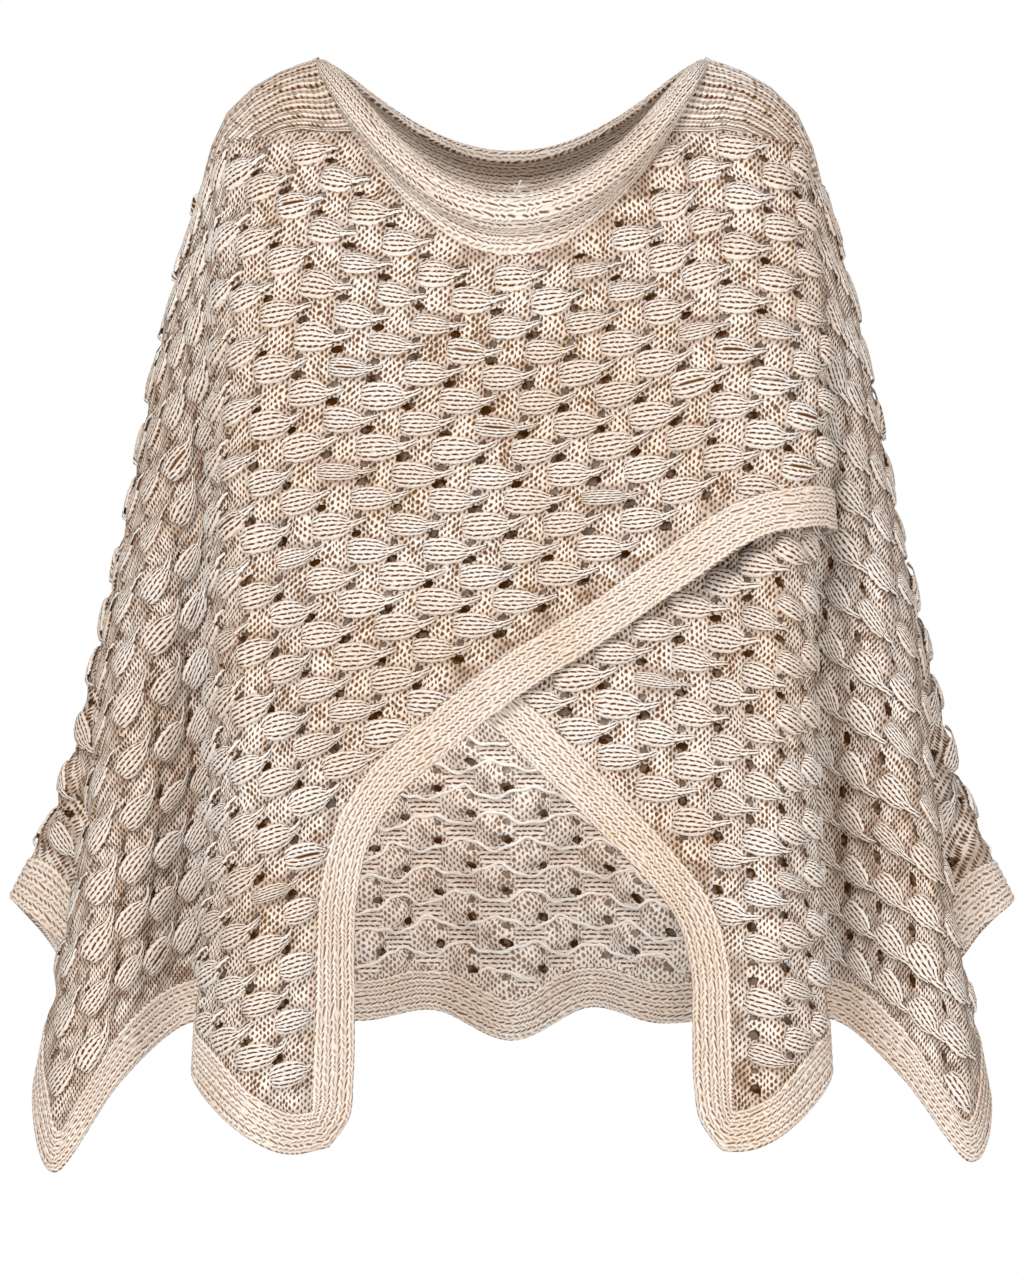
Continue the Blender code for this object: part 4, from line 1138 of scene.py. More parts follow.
def rib_columns(ribs):
    """Places from 0 to 1 across a strip, the rise of its ribs there, and its rib numbers for the UV map."""
    places = [(rib + step, rise) for rib in range(ribs) for step, rise in RIB]
    places.append((float(ribs), 0.0))
    number, rise = np.array(places).T
    return number / ribs, rise, number


def ribbed_strip(name, points, normals, ribs, materials, half=BAND_HALF, rise=RIB_RISE, fullness=1.0):
    """A closed ribbed strip on a grid of points (station, column), whose columns are those of rib_columns.

    fullness is how thick it is against its usual thickness, at each station.
    """
    stations, columns = points.shape[:2]
    _, raised, number = rib_columns(ribs)
    rounded = np.minimum(number, ribs - number) / EDGE_ROLL * (1 - EDGE_THIN) + EDGE_THIN
    thick = (half + rise * raised) * np.sqrt(np.clip(rounded, 0, 1))
    thick = np.broadcast_to(fullness, stations)[:, None] * thick
    outer, inner = ((points + normals * (side * thick)[..., None]).reshape(-1, 3) for side in (1, -1))
    quads = grid_quads(stations, columns)
    turned = np.cross(outer[quads[:, 1]] - outer[quads[:, 0]], outer[quads[:, 3]] - outer[quads[:, 0]])
    if (turned * normals.reshape(-1, 3)[quads[:, 0]]).sum() < 0:
        quads = quads[:, ::-1]
    uv = grid_uv(length_along(points.mean(axis=1)), number)
    return closed_wall(name, outer, inner, quads, uv, materials, 0.0)


def band_mesh(name, drape, rails, ribs, materials):
    """A band between its outer and inner lines."""
    outer, inner = rails
    share = rib_columns(ribs)[0]
    places = outer[:, None] + (inner - outer)[:, None] * share[:, None]
    across, height = places[..., 0].ravel(), places[..., 1].ravel()
    points = drape.point(across, height).reshape(places.shape[:2] + (3,))
    normals = drape.normal(across, height).reshape(points.shape)
    return ribbed_strip(name, points, normals, ribs, materials)


# %% A strap over the shoulder
SADDLE_RIBS = 18
SADDLE_STATIONS, SADDLE_SAMPLES = 24, 200
SADDLE_HALF, SADDLE_RISE = 0.0014, 0.0014
SADDLE_CLIMB, CLIMB_NEAR = 0.0100, 6  # how far it is drawn up to the neckband, and how near to it
SADDLE_OUTWARD = 0.25  # how far its outer side faces the arm, against up


def grid_normals(points, outward):
    """Unit normals of a grid of points, turned to the side of the outward vector."""
    normals = unit(np.cross(np.gradient(points, axis=0), np.gradient(points, axis=1)))
    return normals * np.sign((normals * outward).sum(axis=-1, keepdims=True))


def saddle_mesh(name, side, materials):
    fine = np.linspace(-np.pi / 2, np.pi / 2, SADDLE_SAMPLES)
    reach = length_along(np.array([saddle_point(0.5, turn, side) for turn in fine]))
    turns = np.interp(rib_columns(SADDLE_RIBS)[0] * reach[-1], reach, fine)
    along = np.linspace(0.0, 1.0, SADDLE_STATIONS)
    points = np.array([[saddle_point(place, turn, side) for turn in turns] for place in along])
    points[..., 2] += SADDLE_CLIMB * (1 - along[:, None]) ** CLIMB_NEAR * np.cos(turns) ** 2
    normals = grid_normals(points, np.array([SADDLE_OUTWARD * side, 0.0, 1.0]))
    return ribbed_strip(name, points, normals, SADDLE_RIBS, materials, SADDLE_HALF, SADDLE_RISE)


# %% The rolled neckbands
# Neckband profiles, from its seam up: (outwards, up).
FRONT_ROLL = (
    (0.0000, 0.0000), (0.0005, 0.0080), (0.0040, 0.0160), (0.0110, 0.0210), (0.0150, 0.0290),
    (0.0100, 0.0380), (-0.0010, 0.0410), (-0.0110, 0.0370), (-0.0160, 0.0280),
)
BACK_STAND = (
    (0.0000, 0.0000), (0.0025, 0.0060), (0.0035, 0.0130), (0.0030, 0.0190), (0.0010, 0.0250),
    (-0.0025, 0.0305), (-0.0075, 0.0335), (-0.0125, 0.0320), (-0.0150, 0.0270),
)
PROFILE_SAMPLES = 400
BAND_LIFT = 0.0010  # clearance of the neckband over the edge that it is sewn to, at the middle
BAND_LIFT_SHOULDER = 0.0034  # and over the saddle, which lies flat under it
LIFT_WITHIN, SEAM_TUCK = 0.6, 0.0012  # knots of the profile to full clearance, and how far it covers the seam
ROLL_GROWTH = 1.2  # how slowly the roll swells from the shoulder
SHOULDER_ROLL = 0.11  # share of the profile's size that is left where the band crosses the shoulder
THIN_SHOULDER, THICK_WITHIN = 0.45, 0.5  # share of its thickness that is left there, and where it is whole
FRONT_NECK_RIBS, BACK_NECK_RIBS = 12, 8
NECK_STATIONS = 116


def neckband_mesh(name, face, profile, ribs, materials):
    """The neckband over one face, from shoulder to shoulder."""
    turns = np.linspace(0.0, np.pi, NECK_STATIONS)
    knots, fine = np.arange(len(profile)), np.linspace(0, len(profile) - 1, PROFILE_SAMPLES)
    reach = length_along(smooth_curve(knots, profile, fine))
    places = np.interp(rib_columns(ribs)[0] * reach[-1], reach, fine)
    size = SHOULDER_ROLL + (1 - SHOULDER_ROLL) * np.sin(turns) ** ROLL_GROWTH
    fullness = THIN_SHOULDER + (1 - THIN_SHOULDER) * np.clip(np.sin(turns) / THICK_WITHIN, 0, 1)
    lift = BAND_LIFT_SHOULDER + (BAND_LIFT - BAND_LIFT_SHOULDER) * np.sin(turns)
    curve = smooth_curve(knots, profile, places)
    outwards = size[:, None] * curve[:, 0]
    rising = np.clip(places / LIFT_WITHIN, 0, 1)
    up = size[:, None] * curve[:, 1] + (lift[:, None] + SEAM_TUCK) * rising - SEAM_TUCK
    facing = (np.cos(turns) / NECK_HALF_WIDTH, face * np.sin(turns) / neck_depth(face), 0 * turns)
    facing = unit(np.column_stack(facing))
    seam = np.array([neck_seam(turn, face) for turn in turns])
    points = seam[:, None] + facing[:, None] * outwards[..., None]
    points[..., 2] += up
    rise = np.gradient(curve, axis=0)
    out_of_roll = facing[:, None] * rise[None, :, 1:2] - np.array([0.0, 0.0, 1.0]) * rise[None, :, 0:1]
    normals = grid_normals(points, out_of_roll)
    return ribbed_strip(name, points, normals, ribs, materials, fullness=fullness)

# %% [markdown]
# ## The wrong side
# Through the open front the inside of the back shows. There the plain diamonds belly towards the viewer,
# and under each of them lies the bright float of yarn that the leaf was gathered with. The floats run in
# waves along the rows. They are modelled as thin cords half sunk in the cloth, where they can be seen.

# %% Floats on the inside of the back
FLOAT_STATION, FLOAT_REACH = 0.003, 0.30  # from one cross-section to the next, and from the middle to the end
FLOAT_SIZE, FLOAT_PROUD = 0.0012, 0.4  # half its thickness, and the share of it that its middle stands off
FLOAT_BELOW, FLOAT_WAVE = 3.2, 1.25  # cells below the middle of a dome, and how far it waves
FLOAT_WANDER = 0.30  # cells that it wanders by, as yarn does
WANDERS = ((0.83, 1.7), (1.57, 0.9))  # radians for each column, and for each row
FLOAT_FIRST_ROW = 8  # repeats below the shoulder line
FEWEST_STATIONS = 4  # of a float that is worth making
FLOAT_SIDES = ((-1.0, -0.2), (-0.6, 0.75), (0.6, 0.75), (1.0, -0.2))  # a half round: across, out
FLOAT_TONE = 0.5


def floats_mesh(name, cloth, material):
    """Wavy half-round cords on the wrong side of a panel, one below each row of domes."""
    lines, quads = [], []
    along = np.arange(-FLOAT_REACH, FLOAT_REACH, FLOAT_STATION)
    column = along / CELL_LONG * cloth.way
    sides = len(FLOAT_SIDES)
    for dome_row in range(LEAVES[0][1], ROW_COUNT - CELLS, CELLS // 2):
        first_dome = LEAVES[1][0] if dome_row % CELLS == LEAVES[0][1] else LEAVES[0][0]
        wave = np.cos(2 * np.pi * (column - first_dome) / CELLS)
        wander = sum(np.sin(by_column * column + by_row * dome_row) for by_column, by_row in WANDERS)
        down = (dome_row + FLOAT_BELOW + FLOAT_WAVE * wave + FLOAT_WANDER * wander) * CELL_DEEP
        here = cloth.read(along, down)
        normals = here[:, 3:6]
        seen = (here[:, DEPTH] > CALM_EDGE / 2) & (down > FLOAT_FIRST_ROW * REPEAT_DEEP)
        if seen.sum() < FEWEST_STATIONS:
            continue
        relief = RELIEF[cloth.drape.face] * chart_relief(column, down / CELL_DEEP)
        centre = here[:, :3] + normals * (relief - WALL / 2 - FLOAT_SIZE * FLOAT_PROUD)[:, None]
        aside = unit(np.cross(np.gradient(centre, axis=0), normals))
        ring = [centre + aside * FLOAT_SIZE * x - normals * FLOAT_SIZE * out for x, out in FLOAT_SIDES]
        both = np.repeat(seen[:-1] & seen[1:], sides - 1)
        quads.append(grid_quads(len(along), sides)[both] + len(lines) * len(along) * sides)
        lines.append(np.stack(ring, axis=1).reshape(-1, 3))
    uv = np.tile(grid_uv(along, np.arange(sides) / (sides - 1)), (len(lines), 1))
    return mesh_object(name, np.vstack(lines), np.vstack(quads), uv, [material], FLOAT_TONE)

# %% [markdown]
# ## The joining knot
# The neckband is knitted round and grafted at the centre of the back. The end of the yarn leaves a small
# knot there: two loops and a short tail. It is small enough to model with a few bent cords.

# %% A small knot of yarn
KNOT_YARN = 0.0011
KNOT_LOOPS = (  # points (right, up, out) of each cord in the knot
    ((-0.0060, 0.0010, 0.0), (-0.0035, 0.0030, 0.0018), (0.0, 0.0006, 0.0026),
     (0.0035, 0.0030, 0.0018), (0.0065, 0.0014, 0.0)),
    ((-0.0055, -0.0040, 0.0), (-0.0020, -0.0016, 0.0018), (0.0, 0.0010, 0.0030),
     (0.0010, 0.0050, 0.0016), (0.0022, 0.0072, 0.0)),
    ((0.0058, -0.0044, 0.0), (0.0022, -0.0018, 0.0018), (0.0, 0.0004, 0.0030),
     (-0.0008, -0.0040, 0.0020), (-0.0004, -0.0080, 0.0)),
)
KNOT_PLACE = (0.0045, 0.0795, -0.0950)


def knot_mesh(name, material):
    curve = bpy.data.curves.new(name, "CURVE")
    curve.dimensions = "3D"
    curve.bevel_depth = KNOT_YARN
    curve.bevel_resolution = 2
    curve.use_fill_caps = True
    for loop in KNOT_LOOPS:
        spline = curve.splines.new("NURBS")
        spline.points.add(len(loop) - 1)
        for point, (right, up, out) in zip(spline.points, loop):
            point.co = (KNOT_PLACE[0] + right, KNOT_PLACE[1] - out, KNOT_PLACE[2] + up, 1.0)
        spline.order_u = 4
        spline.use_endpoint_u = True
    thing = new_object(name, curve)
    thing.select_set(True)
    bpy.context.view_layer.objects.active = thing
    bpy.ops.object.convert(target="MESH")
    thing = bpy.context.object
    thing.data.materials.append(material)
    thing.data.shade_smooth()
    thing.select_set(False)
    return thing

# %% [markdown]
# ## Yarn and stitches as materials
# The yarn is a matt cotton blend in warm sand, lighter and darker from strand to strand. The meshes hold
# the leaves, ribs, folds and eyelets. The single stitches are finer than that, so they are drawn by nodes.
# In plain knitting the yarn hides all but small drop-shaped gaps, one in the middle of each V and one
# between them. So those gaps are what is drawn, painted dark brown with the shade that falls in them,
# each with its own size and slant. Along leaves and ribs the gaps are dashes of painted shade in the
# grooves between round cords. The patterns follow the piece's own UV map, so they turn with the cloth.

# %% A short way to write node trees
YARN_LIGHT, YARN_DEEP = (0.94, 0.915, 0.893, 1.0), (0.75, 0.605, 0.482, 1.0)
# Painted shade: the colours painted into the gaps of the knitting, and deep in the eyelets.
GAP_SHADE_COLOUR, EYELET_SHADE_COLOUR = (0.120, 0.043, 0.010, 1.0), (0.042, 0.017, 0.006, 1.0)
GAP_RICHNESS = 0.36  # how much richer the colour is in a gap, where light bounces from yarn to yarn
SHEEN, SHEEN_ROUGHNESS, SHINE = 0.03, 0.5, 0.04
SMOOTHEST, ROUGHER = 0.80, 0.10  # roughness of the yarn, and what its flecks add
PATCH_SHARE, FLECK_SHARE = 0.30, 0.45  # of the step from deep to light yarn
BUMP = 0.9
GAP_WIDE, GAP_TALL = 0.38, 0.39  # half sizes of a gap, in half a stitch's width and in its height
DROP = 0.8  # how much a gap narrows upwards
PATCH_WAVES, FLECK_WAVES, FLECK_DETAIL = 9.0, 420.0, 3.0  # waves of noise to a metre
PATCH_SPAN, FLECK_SPAN = (0.35, 0.65), (0.38, 0.66)
OFTEN = (0.3, 0.7)  # the values between which a noise mostly lies
SLANT_WAVES, SLANTS = 45.0, (0.12, -0.26)  # of the gaps of plain stitches
SIZE_WAVES, GAP_SIZES = 100.0, (0.65, 1.9)  # by what a gap's squared distances are multiplied
GAP_FADE, GAP_DARK = (0.15, 1.5), (0.95, 0.0)  # squared distances, and how dark the gap's painted shade is there


class Value:
    """A number that a material works out. Arithmetic with it makes Math nodes."""

    def __init__(self, recipe, socket):
        self.recipe = recipe
        self.socket = socket

    def math(self, operation, *others):
        return self.recipe.math(operation, self, *others)

    def __add__(self, other):
        return self.math("ADD", other)

    def __sub__(self, other):
        return self.math("SUBTRACT", other)

    def __rsub__(self, other):
        return self.recipe.math("SUBTRACT", other, self)

    def __mul__(self, other):
        return self.math("MULTIPLY", other)

    def __truediv__(self, other):
        return self.math("DIVIDE", other)

    def __abs__(self):
        return self.math("ABSOLUTE")

    def __round__(self):
        return self.math("ROUND")

    def times_plus(self, factor, more):
        return self.math("MULTIPLY_ADD", factor, more)

    def in_stitch(self):
        """A count of stitches as the place in its own stitch, from -0.5 to 0.5."""
        return self.math("FRACT") - 0.5

    def beside(self):
        """How far a count is from the nearest whole number, from 0 to 1."""
        return self.math("PINGPONG", 0.5) * 2.0

    def odd(self):
        """1 at odd whole numbers, and 0 at even ones."""
        return self.math("PINGPONG", 1.0)

    def ramp(self, low, high, start=0.0, end=1.0):
        """start where the value is low, end where it is high, and a soft change between."""
        sockets = dict(enumerate((self, low, high, start, end)))
        return self.recipe.node("MapRange", sockets, interpolation_type="SMOOTHSTEP")


class Recipe:
    """A material's nodes. Their sockets are fed with numbers, colours or Values."""

    def __init__(self, name):
        self.material = bpy.data.materials.new(name)
        self.material.use_nodes = True
        self.tree = self.material.node_tree
        self.shader = self.tree.nodes["Principled BSDF"]
        looks = {"Sheen Weight": SHEEN, "Sheen Roughness": SHEEN_ROUGHNESS, "Specular IOR Level": SHINE}
        self.feed(self.shader, looks)

    def feed(self, node, sockets):
        for key, value in sockets.items():
            if isinstance(value, Value):
                self.tree.links.new(value.socket, node.inputs[key])
            else:
                node.inputs[key].default_value = value

    def node(self, kind, sockets, output=0, **settings):
        """One output of a new node. sockets: what its inputs are fed with, by name or number."""
        made = self.tree.nodes.new("ShaderNode" + kind)
        for setting, value in settings.items():
            setattr(made, setting, value)
        self.feed(made, sockets)
        return Value(self, made.outputs[output])

    def math(self, operation, *values):
        return self.node("Math", dict(enumerate(values)), operation=operation)

    def mix_colour(self, share, one, other):
        return self.node("Mix", {0: share, 6: one, 7: other}, 2, data_type="RGBA")

    def noise(self, waves, detail=2.0):
        """Noise of so many waves to a metre."""
        place = self.node("TexCoord", {}, "Object")
        return self.node("TexNoise", {"Vector": place, "Scale": waves, "Detail": detail}, "Fac")

    def wobble(self, waves):
        """Noise from -0.5 to 0.5."""
        return self.noise(waves) - 0.5

    def tone(self):
        return self.node("Attribute", {}, "Fac", attribute_name="tone")

    def cloth_place(self):
        """The UV map's two directions."""
        uv = self.node("UVMap", {}, uv_map="cloth")
        return [self.node("SeparateXYZ", {0: uv}, output) for output in (0, 1)]

    def oval(self, right, up):
        """The square of a distance, 1 on the edge of a stitch's gap, which narrows upwards like a drop."""
        wide = up.times_plus(-DROP * GAP_WIDE, GAP_WIDE)
        tall = up / GAP_TALL
        return (right / wide).math("POWER", 2.0) + tall * tall

    def v_stitches(self, across, along, slanting):
        """Painted shade in the gaps of plain stitches: an oval one in the middle of each V, and one between
        neighbours.
        """
        slant = self.noise(SLANT_WAVES).ramp(*OFTEN, *(slanting * most for most in SLANTS))
        ovals = []
        for half_across, half_along in ((0.5, 0.0), (0.0, 0.5)):
            up = (along + half_along).in_stitch()
            ovals.append(self.oval(up.times_plus(slant, across + half_across).beside(), up))
        own_size = self.noise(SIZE_WAVES).ramp(*OFTEN, *GAP_SIZES)
        return (ovals[0].math("MINIMUM", ovals[1]) * own_size).ramp(*GAP_FADE, *GAP_DARK)

    def finish(self, gap, height, depth, tone, shade_colour=GAP_SHADE_COLOUR):
        """Colour from the yarn's own variation and the painted shade of the dark gaps, and bump from the height of the
        yarn.

        tone is added to the share of light yarn, and gap is the share of painted shade, in shade_colour.
        """
        patches = self.noise(PATCH_WAVES).ramp(*PATCH_SPAN)
        flecks = self.noise(FLECK_WAVES, FLECK_DETAIL).ramp(*FLECK_SPAN)
        share = patches.times_plus(PATCH_SHARE, flecks * FLECK_SHARE) + tone
        colour = self.mix_colour(gap, self.mix_colour(share, YARN_DEEP, YARN_LIGHT), shade_colour)
        richer = gap * GAP_RICHNESS + 1.0
        self.feed(self.shader, {
            "Base Color": self.node("HueSaturation", {"Saturation": richer, "Color": colour}),
            "Roughness": flecks.times_plus(ROUGHER, SMOOTHEST),
            "Normal": self.node("Bump", {"Strength": BUMP, "Distance": depth, "Height": height}),
        })
        return self.material


# %% Plain stitches, leaf cords, ribs and floats
WALE, COURSE = 0.0062, 0.0049  # width and height of a plain V stitch
DASH = 0.0058  # length of the stitches that show in a groove between two cords
RIB_LINK, STRAP_LINK = 0.0056, 0.0041  # length of a stitch along a rib, and along a cord of the straps
BACK_CORD = 0.0035  # from one cord of a leaf to the next on the wrong side
LEAF_TWIST, YARN_TWIST = 0.0021, 0.0022  # length of a turn of the yarn's strands
CORD_SHIFT = 0.37  # of a stitch, from one cord to the next
DASH_WAVES, DASH_WANDER = 75.0, 2.1  # waves of noise to a metre, and stitches that the dashes wander by
GROOVE_FADE, DASH_FADE = (0.08, 0.27), (0.24, 0.44)  # cords from a groove, and stitches from a dash's middle
PLAIN_WAVES, PLAIN_COURSES = 105.0, 0.7  # of the noise that plain stitches wander by; its share up and down
NEAR_LEAF, LEAF_SHADE = (-0.40, 0.35), 0.50  # relief where a leaf's painted shadow begins and is full; how dark it is
UNDER_LEAF = (0.10, 0.35)  # relief where the cloth's wrong side shows the leaf's cords
WRONG_SLANTING, WRONG_GAPS, WRONG_CORDS = 0.3, 0.86, 0.95  # slant and darkness of the painted shade that shows there
LEAF_WAVES, LEAF_WANDER = 160.0, 0.45  # waves of noise to a metre, and cords that it moves a leaf's lines by
SLIT_ACROSS, SLIT_ALONG = (0.15, 0.50), (0.008, 0.012)  # where a leaf's slit of painted shade fades, in cords and in metres
SLIT_LEAVES = (0.93, 0.95)  # tones of the few leaves that have one
TWIST_SLANT, TWIST_RISE = 1.4, 0.15  # turns of the strands across a cord, and how high they stand
RIB_DRIFT, RIB_SLIDE = 30.0, 0.03  # waves of noise to a metre, and metres that it moves the stitches by
RIB_WAVES, RIB_WANDER = 150.0, 0.6  # the same for finer noise, in cords
CREST_LESS = -0.35  # how much less dark the painted shade along a rib's crest is than that in its groove
STRAP_DRIFT, STRAP_SLIDE = 40.0, 1.6  # waves of noise to a metre, and stitches that it moves the drops by
STRAP_WAVES, STRAP_SIZES, STRAP_FADE = 110.0, (0.45, 1.7), (0.3, 1.5)  # as for the gaps of plain stitches
DROP_LONG, DROP_WIDE = 1.6, 1.1  # how much longer and narrower the drops are than the gaps of plain stitches
STRAP_GROOVE, STRAP_GROOVE_DARK = (0.05, 0.42), 0.70  # where the grooves fade, and how dark their painted shade is
STRAP_DARK, STRAP_LESS = 0.97, -0.30  # how dark the painted shade of the drops and grooves is, and how much less at every second cord
# Painted shade on the eyelets' dark sheets: its blots, how dark it is, and how much paler in the upper ones.
WEB_WAVES, WEB_SPAN, WEB_BLOT = 200.0, (0.35, 0.65), 0.10
WEB_SHADE, WEB_SHADE_MOST, UPPER_WEB_SHADE_LESS = 0.94, 0.99, 0.19
LEAF_SLANT, RIB_SLANT, WRONG_SLANT = 0.16, 0.45, 0.2  # of the stitches between cords, and how dark it is
LEAF_LEAST, RIB_LEAST, WRONG_LEAST = 0.38, 0.30, 0.25  # between their dashes
DEEPEST_LEAF, LEAF_TONES = 0.10, 0.2  # tone of the deepest leaf, and how much lighter the lightest is
STITCH_BUMP, RIB_BUMP, STRAP_BUMP, CORD_BUMP = 0.0014, 0.0013, 0.0020, 0.0010
WEB_BUMP, YARN_BUMP = 0.0008, 0.0003


def groove_and_dash(recipe, cord, along, slant, least):
    """How dark the painted shade in the stitches between cords is, by a count across the cords.

    Each stitch slants by this share of a cord, to the other side on every second one.
    least: how dark it is between the dashes.
    """
    number = round(cord)
    other = number.odd().times_plus(2.0, -1.0)
    step = number.times_plus(CORD_SHIFT, along / DASH)
    share = recipe.noise(DASH_WAVES).times_plus(DASH_WANDER, step).in_stitch()
    away = abs(cord + share * other * slant - number)
    return away.ramp(*GROOVE_FADE, 1.0, 0.0) * abs(share).ramp(*DASH_FADE, 1.0, least)


def stitch_gaps(recipe, along, up, slanting):
    wobble = recipe.wobble(PLAIN_WAVES)
    return recipe.v_stitches(along / WALE + wobble, up / COURSE + wobble * PLAIN_COURSES, slanting)


def plain_stitches(name, tone):
    """Columns of V stitches, with a painted shadow close to the leaves."""
    recipe = Recipe(name)
    gap = stitch_gaps(recipe, *recipe.cloth_place(), 1.0)
    shade = recipe.tone().ramp(*NEAR_LEAF, 0.0, LEAF_SHADE)
    return recipe.finish(gap.math("MAXIMUM", shade), 1.0 - gap, STITCH_BUMP, tone)


def wrong_side_stitches(name, tone):
    """V stitches with paler painted shade in their gaps, and grooves of painted shade between cords where a leaf lies
    on the other side of the cloth.
    """
    recipe = Recipe(name)
    along, up = recipe.cloth_place()
    gap = stitch_gaps(recipe, along, up, WRONG_SLANTING) * WRONG_GAPS
    cords = groove_and_dash(recipe, up / BACK_CORD, along, WRONG_SLANT, WRONG_LEAST) * WRONG_CORDS
    gap = recipe.tone().ramp(*UNDER_LEAF).times_plus(cords - gap, gap)
    return recipe.finish(gap, 1.0 - gap, STITCH_BUMP, tone)


def leaf_cords(name):
    """Round cords along each leaf, with painted shade in the small stitches between them, and a slit of painted shade
    in a few leaves.
    """
    recipe = Recipe(name)
    along, cord = recipe.cloth_place()
    tone = recipe.tone()
    cord = recipe.wobble(LEAF_WAVES).times_plus(LEAF_WANDER, cord)
    gap = groove_and_dash(recipe, cord, along, LEAF_SLANT, LEAF_LEAST)
    slit = abs(cord - CORDS / 2).ramp(*SLIT_ACROSS, 1.0, 0.0) * abs(along).ramp(*SLIT_ALONG, 1.0, 0.0)
    gap = gap.math("MAXIMUM", slit * tone.ramp(*SLIT_LEAVES))
    twist = cord.times_plus(TWIST_SLANT, along / LEAF_TWIST).math("FRACT")
    return recipe.finish(gap, twist * TWIST_RISE - gap, CORD_BUMP, tone.times_plus(LEAF_TONES, DEEPEST_LEAF))


def rib_stitches(name, openness, tone):
    """Two cords to a rib, of long slanting stitches with painted shade between them."""
    recipe = Recipe(name)
    along, rib = recipe.cloth_place()
    drift = recipe.wobble(RIB_DRIFT)
    cord = rib.times_plus(2.0, drift + recipe.wobble(RIB_WAVES) * RIB_WANDER)
    along = drift.times_plus(RIB_SLIDE, along) * (DASH / RIB_LINK)
    shown = round(cord).odd().times_plus(CREST_LESS * openness, openness)
    gap = groove_and_dash(recipe, cord, along, RIB_SLANT, RIB_LEAST) * shown
    return recipe.finish(gap, 1.0 - gap, RIB_BUMP, tone)


def strap_stitches(name, tone):
    """Smooth cords along the strap, with a row of small drops of painted shade between each two."""
    recipe = Recipe(name)
    along, rib = recipe.cloth_place()
    drift = recipe.wobble(STRAP_DRIFT)
    cord = rib.times_plus(2.0, drift)
    number = round(cord)
    step = drift.times_plus(STRAP_SLIDE, number.times_plus(CORD_SHIFT, along / STRAP_LINK))
    up = (cord - number) * DROP_WIDE
    own_size = recipe.noise(STRAP_WAVES).ramp(*OFTEN, *STRAP_SIZES)
    drops = (recipe.oval(step.beside() / DROP_LONG, up) * own_size).ramp(*STRAP_FADE, 1.0, 0.0)
    gap = drops.math("MAXIMUM", abs(up).ramp(*STRAP_GROOVE, STRAP_GROOVE_DARK, 0.0))
    gap = gap * number.odd().times_plus(STRAP_LESS, STRAP_DARK)
    return recipe.finish(gap, 1.0 - gap, STRAP_BUMP, tone)


def painted_eyelet_shade(name):
    """Painted shade deep in an eyelet: dark brown, and paler in the upper eyelets."""
    recipe = Recipe(name)
    blot = recipe.noise(WEB_WAVES).ramp(*WEB_SPAN, -WEB_BLOT, WEB_BLOT)
    dark = (blot + WEB_SHADE - recipe.tone() * UPPER_WEB_SHADE_LESS).math("MINIMUM", WEB_SHADE_MOST)
    return recipe.finish(dark, blot, WEB_BUMP, 0.0, EYELET_SHADE_COLOUR)


def bare_yarn(name, tone):
    recipe = Recipe(name)
    along, _ = recipe.cloth_place()
    return recipe.finish(0.0, (along / YARN_TWIST).math("PINGPONG", 0.5), YARN_BUMP, tone)


right_side = plain_stitches("plain_stitches", 0.10)
wrong_side = wrong_side_stitches("wrong_side_stitches", 0.25)
leaf_yarn = leaf_cords("leaf_cords")
rib_yarn = rib_stitches("rib_stitches", 0.80, -0.02)
neck_yarn = rib_stitches("neck_stitches", 0.88, 0.10)
strap_yarn = strap_stitches("strap_stitches", 0.05)
# The floats' yarn, also used for the knot, is painted lighter than the cloth's yarn: a painted highlight.
highlit_float_yarn = bare_yarn("highlit_float_yarn", 0.50)
shade_web_paint = painted_eyelet_shade("painted_eyelet_shade")
print("materials:", len(bpy.data.materials))

# %% [markdown]
# ## Putting the wrap together
# Every piece rides on the garment's one body, and each panel, band, strap and neckband takes the place of
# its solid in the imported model. The sheets are declared with the size that they were knitted to, before
# they were joined.

# %% Panels, leaves and floats
PANEL_CUTS = {  # flat width, flat length and flat area of each panel
    "over_front": (0.83, 0.72, 0.34),
    "under_front": (0.75, 0.72, 0.31),
    "back_panel": (1.10, 0.66, 0.48),
}


def add_to(piece, slot):
    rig.ride(piece, "root")
    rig.slot(piece, slot)
    return piece


def dress(piece, node, slot):
    """The piece takes the place of a node of the model."""
    add_to(piece, slot)
    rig.replaces(piece, node)


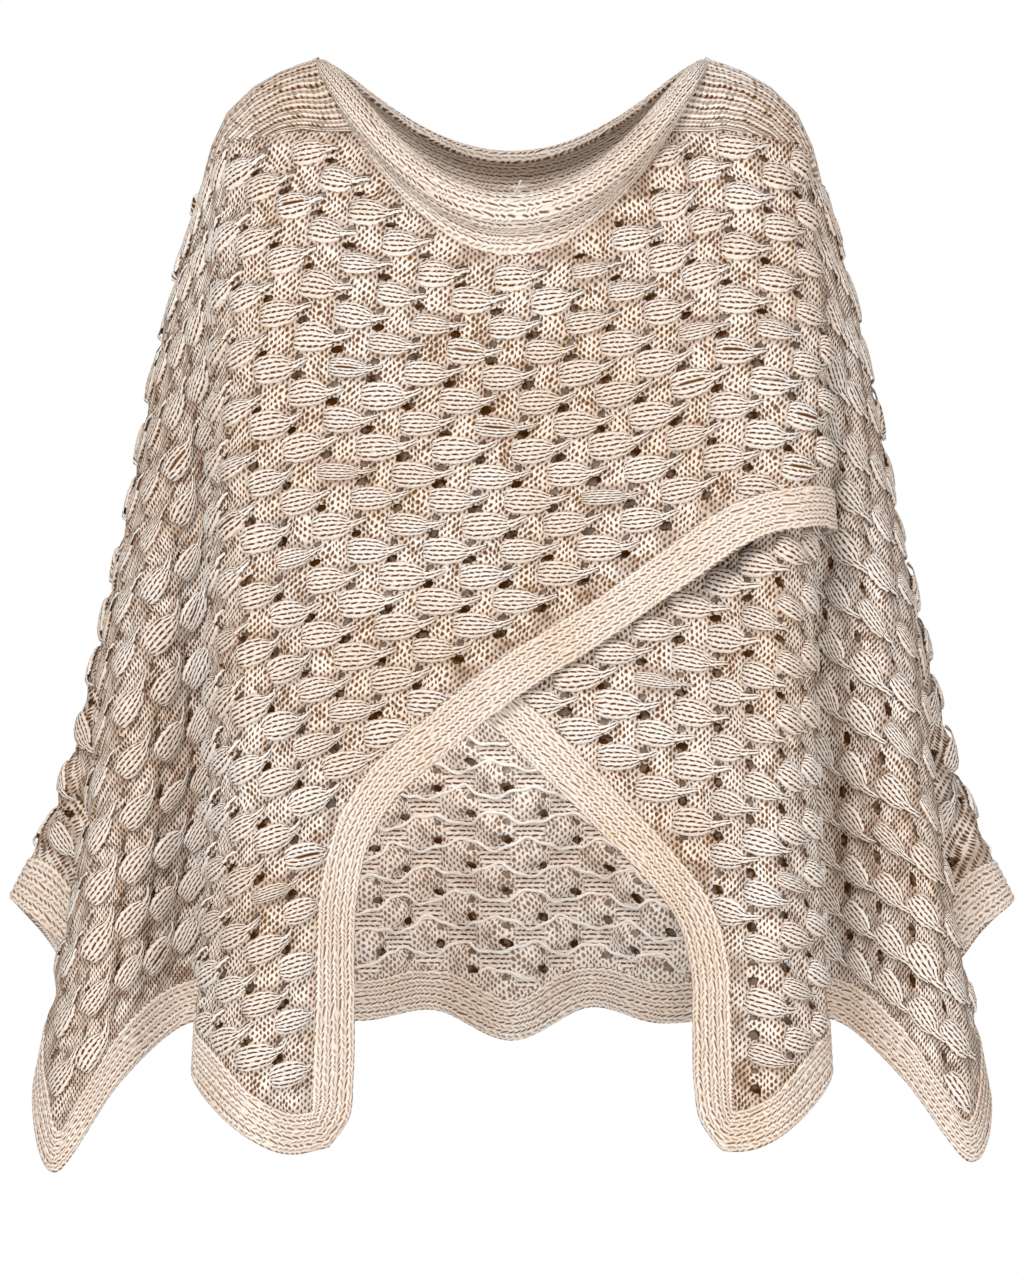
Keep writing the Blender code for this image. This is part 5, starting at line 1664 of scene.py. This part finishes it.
def make_panel(node, cloth, seed, covered=None, more=()):
    panel, shade_webs = panel_mesh(node + "_lace", cloth, [right_side, wrong_side, shade_web_paint], covered)
    dress(panel, node, "lace")
    leaves = add_to(leaves_mesh(node + "_leaves", cloth, leaf_yarn, seed, covered), "lace")
    add_to(shade_webs, "lace")
    width, length, area = PANEL_CUTS[node]
    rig.sheet(panel, (width, length), "draped", area=area, with_pieces=[leaves, shade_webs, *more])


over_cover = panel_outline(over_drape, over_rails[0], RIGHT)
floats = add_to(floats_mesh("back_floats", rear_cloth, highlit_float_yarn), "lace")
make_panel("over_front", over_cloth, 11)
make_panel("under_front", under_cloth, 23, over_cover)
make_panel("back_panel", rear_cloth, 37, more=[floats])

# %% Bands on the edges
BAND_RIBS = 5
for node, drape, rails in (
    ("over_front_band", over_drape, over_rails),
    ("under_front_band", under_drape, under_rails),
    ("back_hem_band", rear_drape, rear_rails),
):
    band = band_mesh(node + "_rib", drape, rails, BAND_RIBS, [rib_yarn, neck_yarn])
    dress(band, node, "rib")
    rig.sheet(band, (length_along(rails[0])[-1], BAND_WIDTH), "draped")

# %% Straps and neckbands
for node, side in (("saddle_right", RIGHT), ("saddle_left", LEFT)):
    strap = saddle_mesh(node + "_rib", side, [strap_yarn, strap_yarn])
    dress(strap, node, "rib")
    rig.sheet(strap, (0.160, 0.095), "draped")

knot = add_to(knot_mesh("joining_knot", highlit_float_yarn), "rib")
for node, face, profile, ribs, size, more in (
    ("neckband_front", FRONT, FRONT_ROLL, FRONT_NECK_RIBS, (0.46, 0.068), ()),
    ("neckband_back", BACK, BACK_STAND, BACK_NECK_RIBS, (0.42, 0.044), (knot,)),
):
    neckband = neckband_mesh(node + "_rib", face, profile, ribs, [neck_yarn, neck_yarn])
    dress(neckband, node, "rib")
    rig.sheet(neckband, size, "folded", with_pieces=more)

# %% [markdown]
# ## Write down the size
# The cloth may stand a little proud of the model, and no more. Both boxes are written down.

# %% Write both boxes, and finish
visual_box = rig.bounds()
with open(SIZE_FILE, "w") as file:
    json.dump({"cad": [list(corner) for corner in cad_box], "visual": [list(corner) for corner in visual_box]}, file)
print("model:", [[round(value, 4) for value in corner] for corner in cad_box])
print("cloth:", [[round(value, 4) for value in corner] for corner in visual_box])
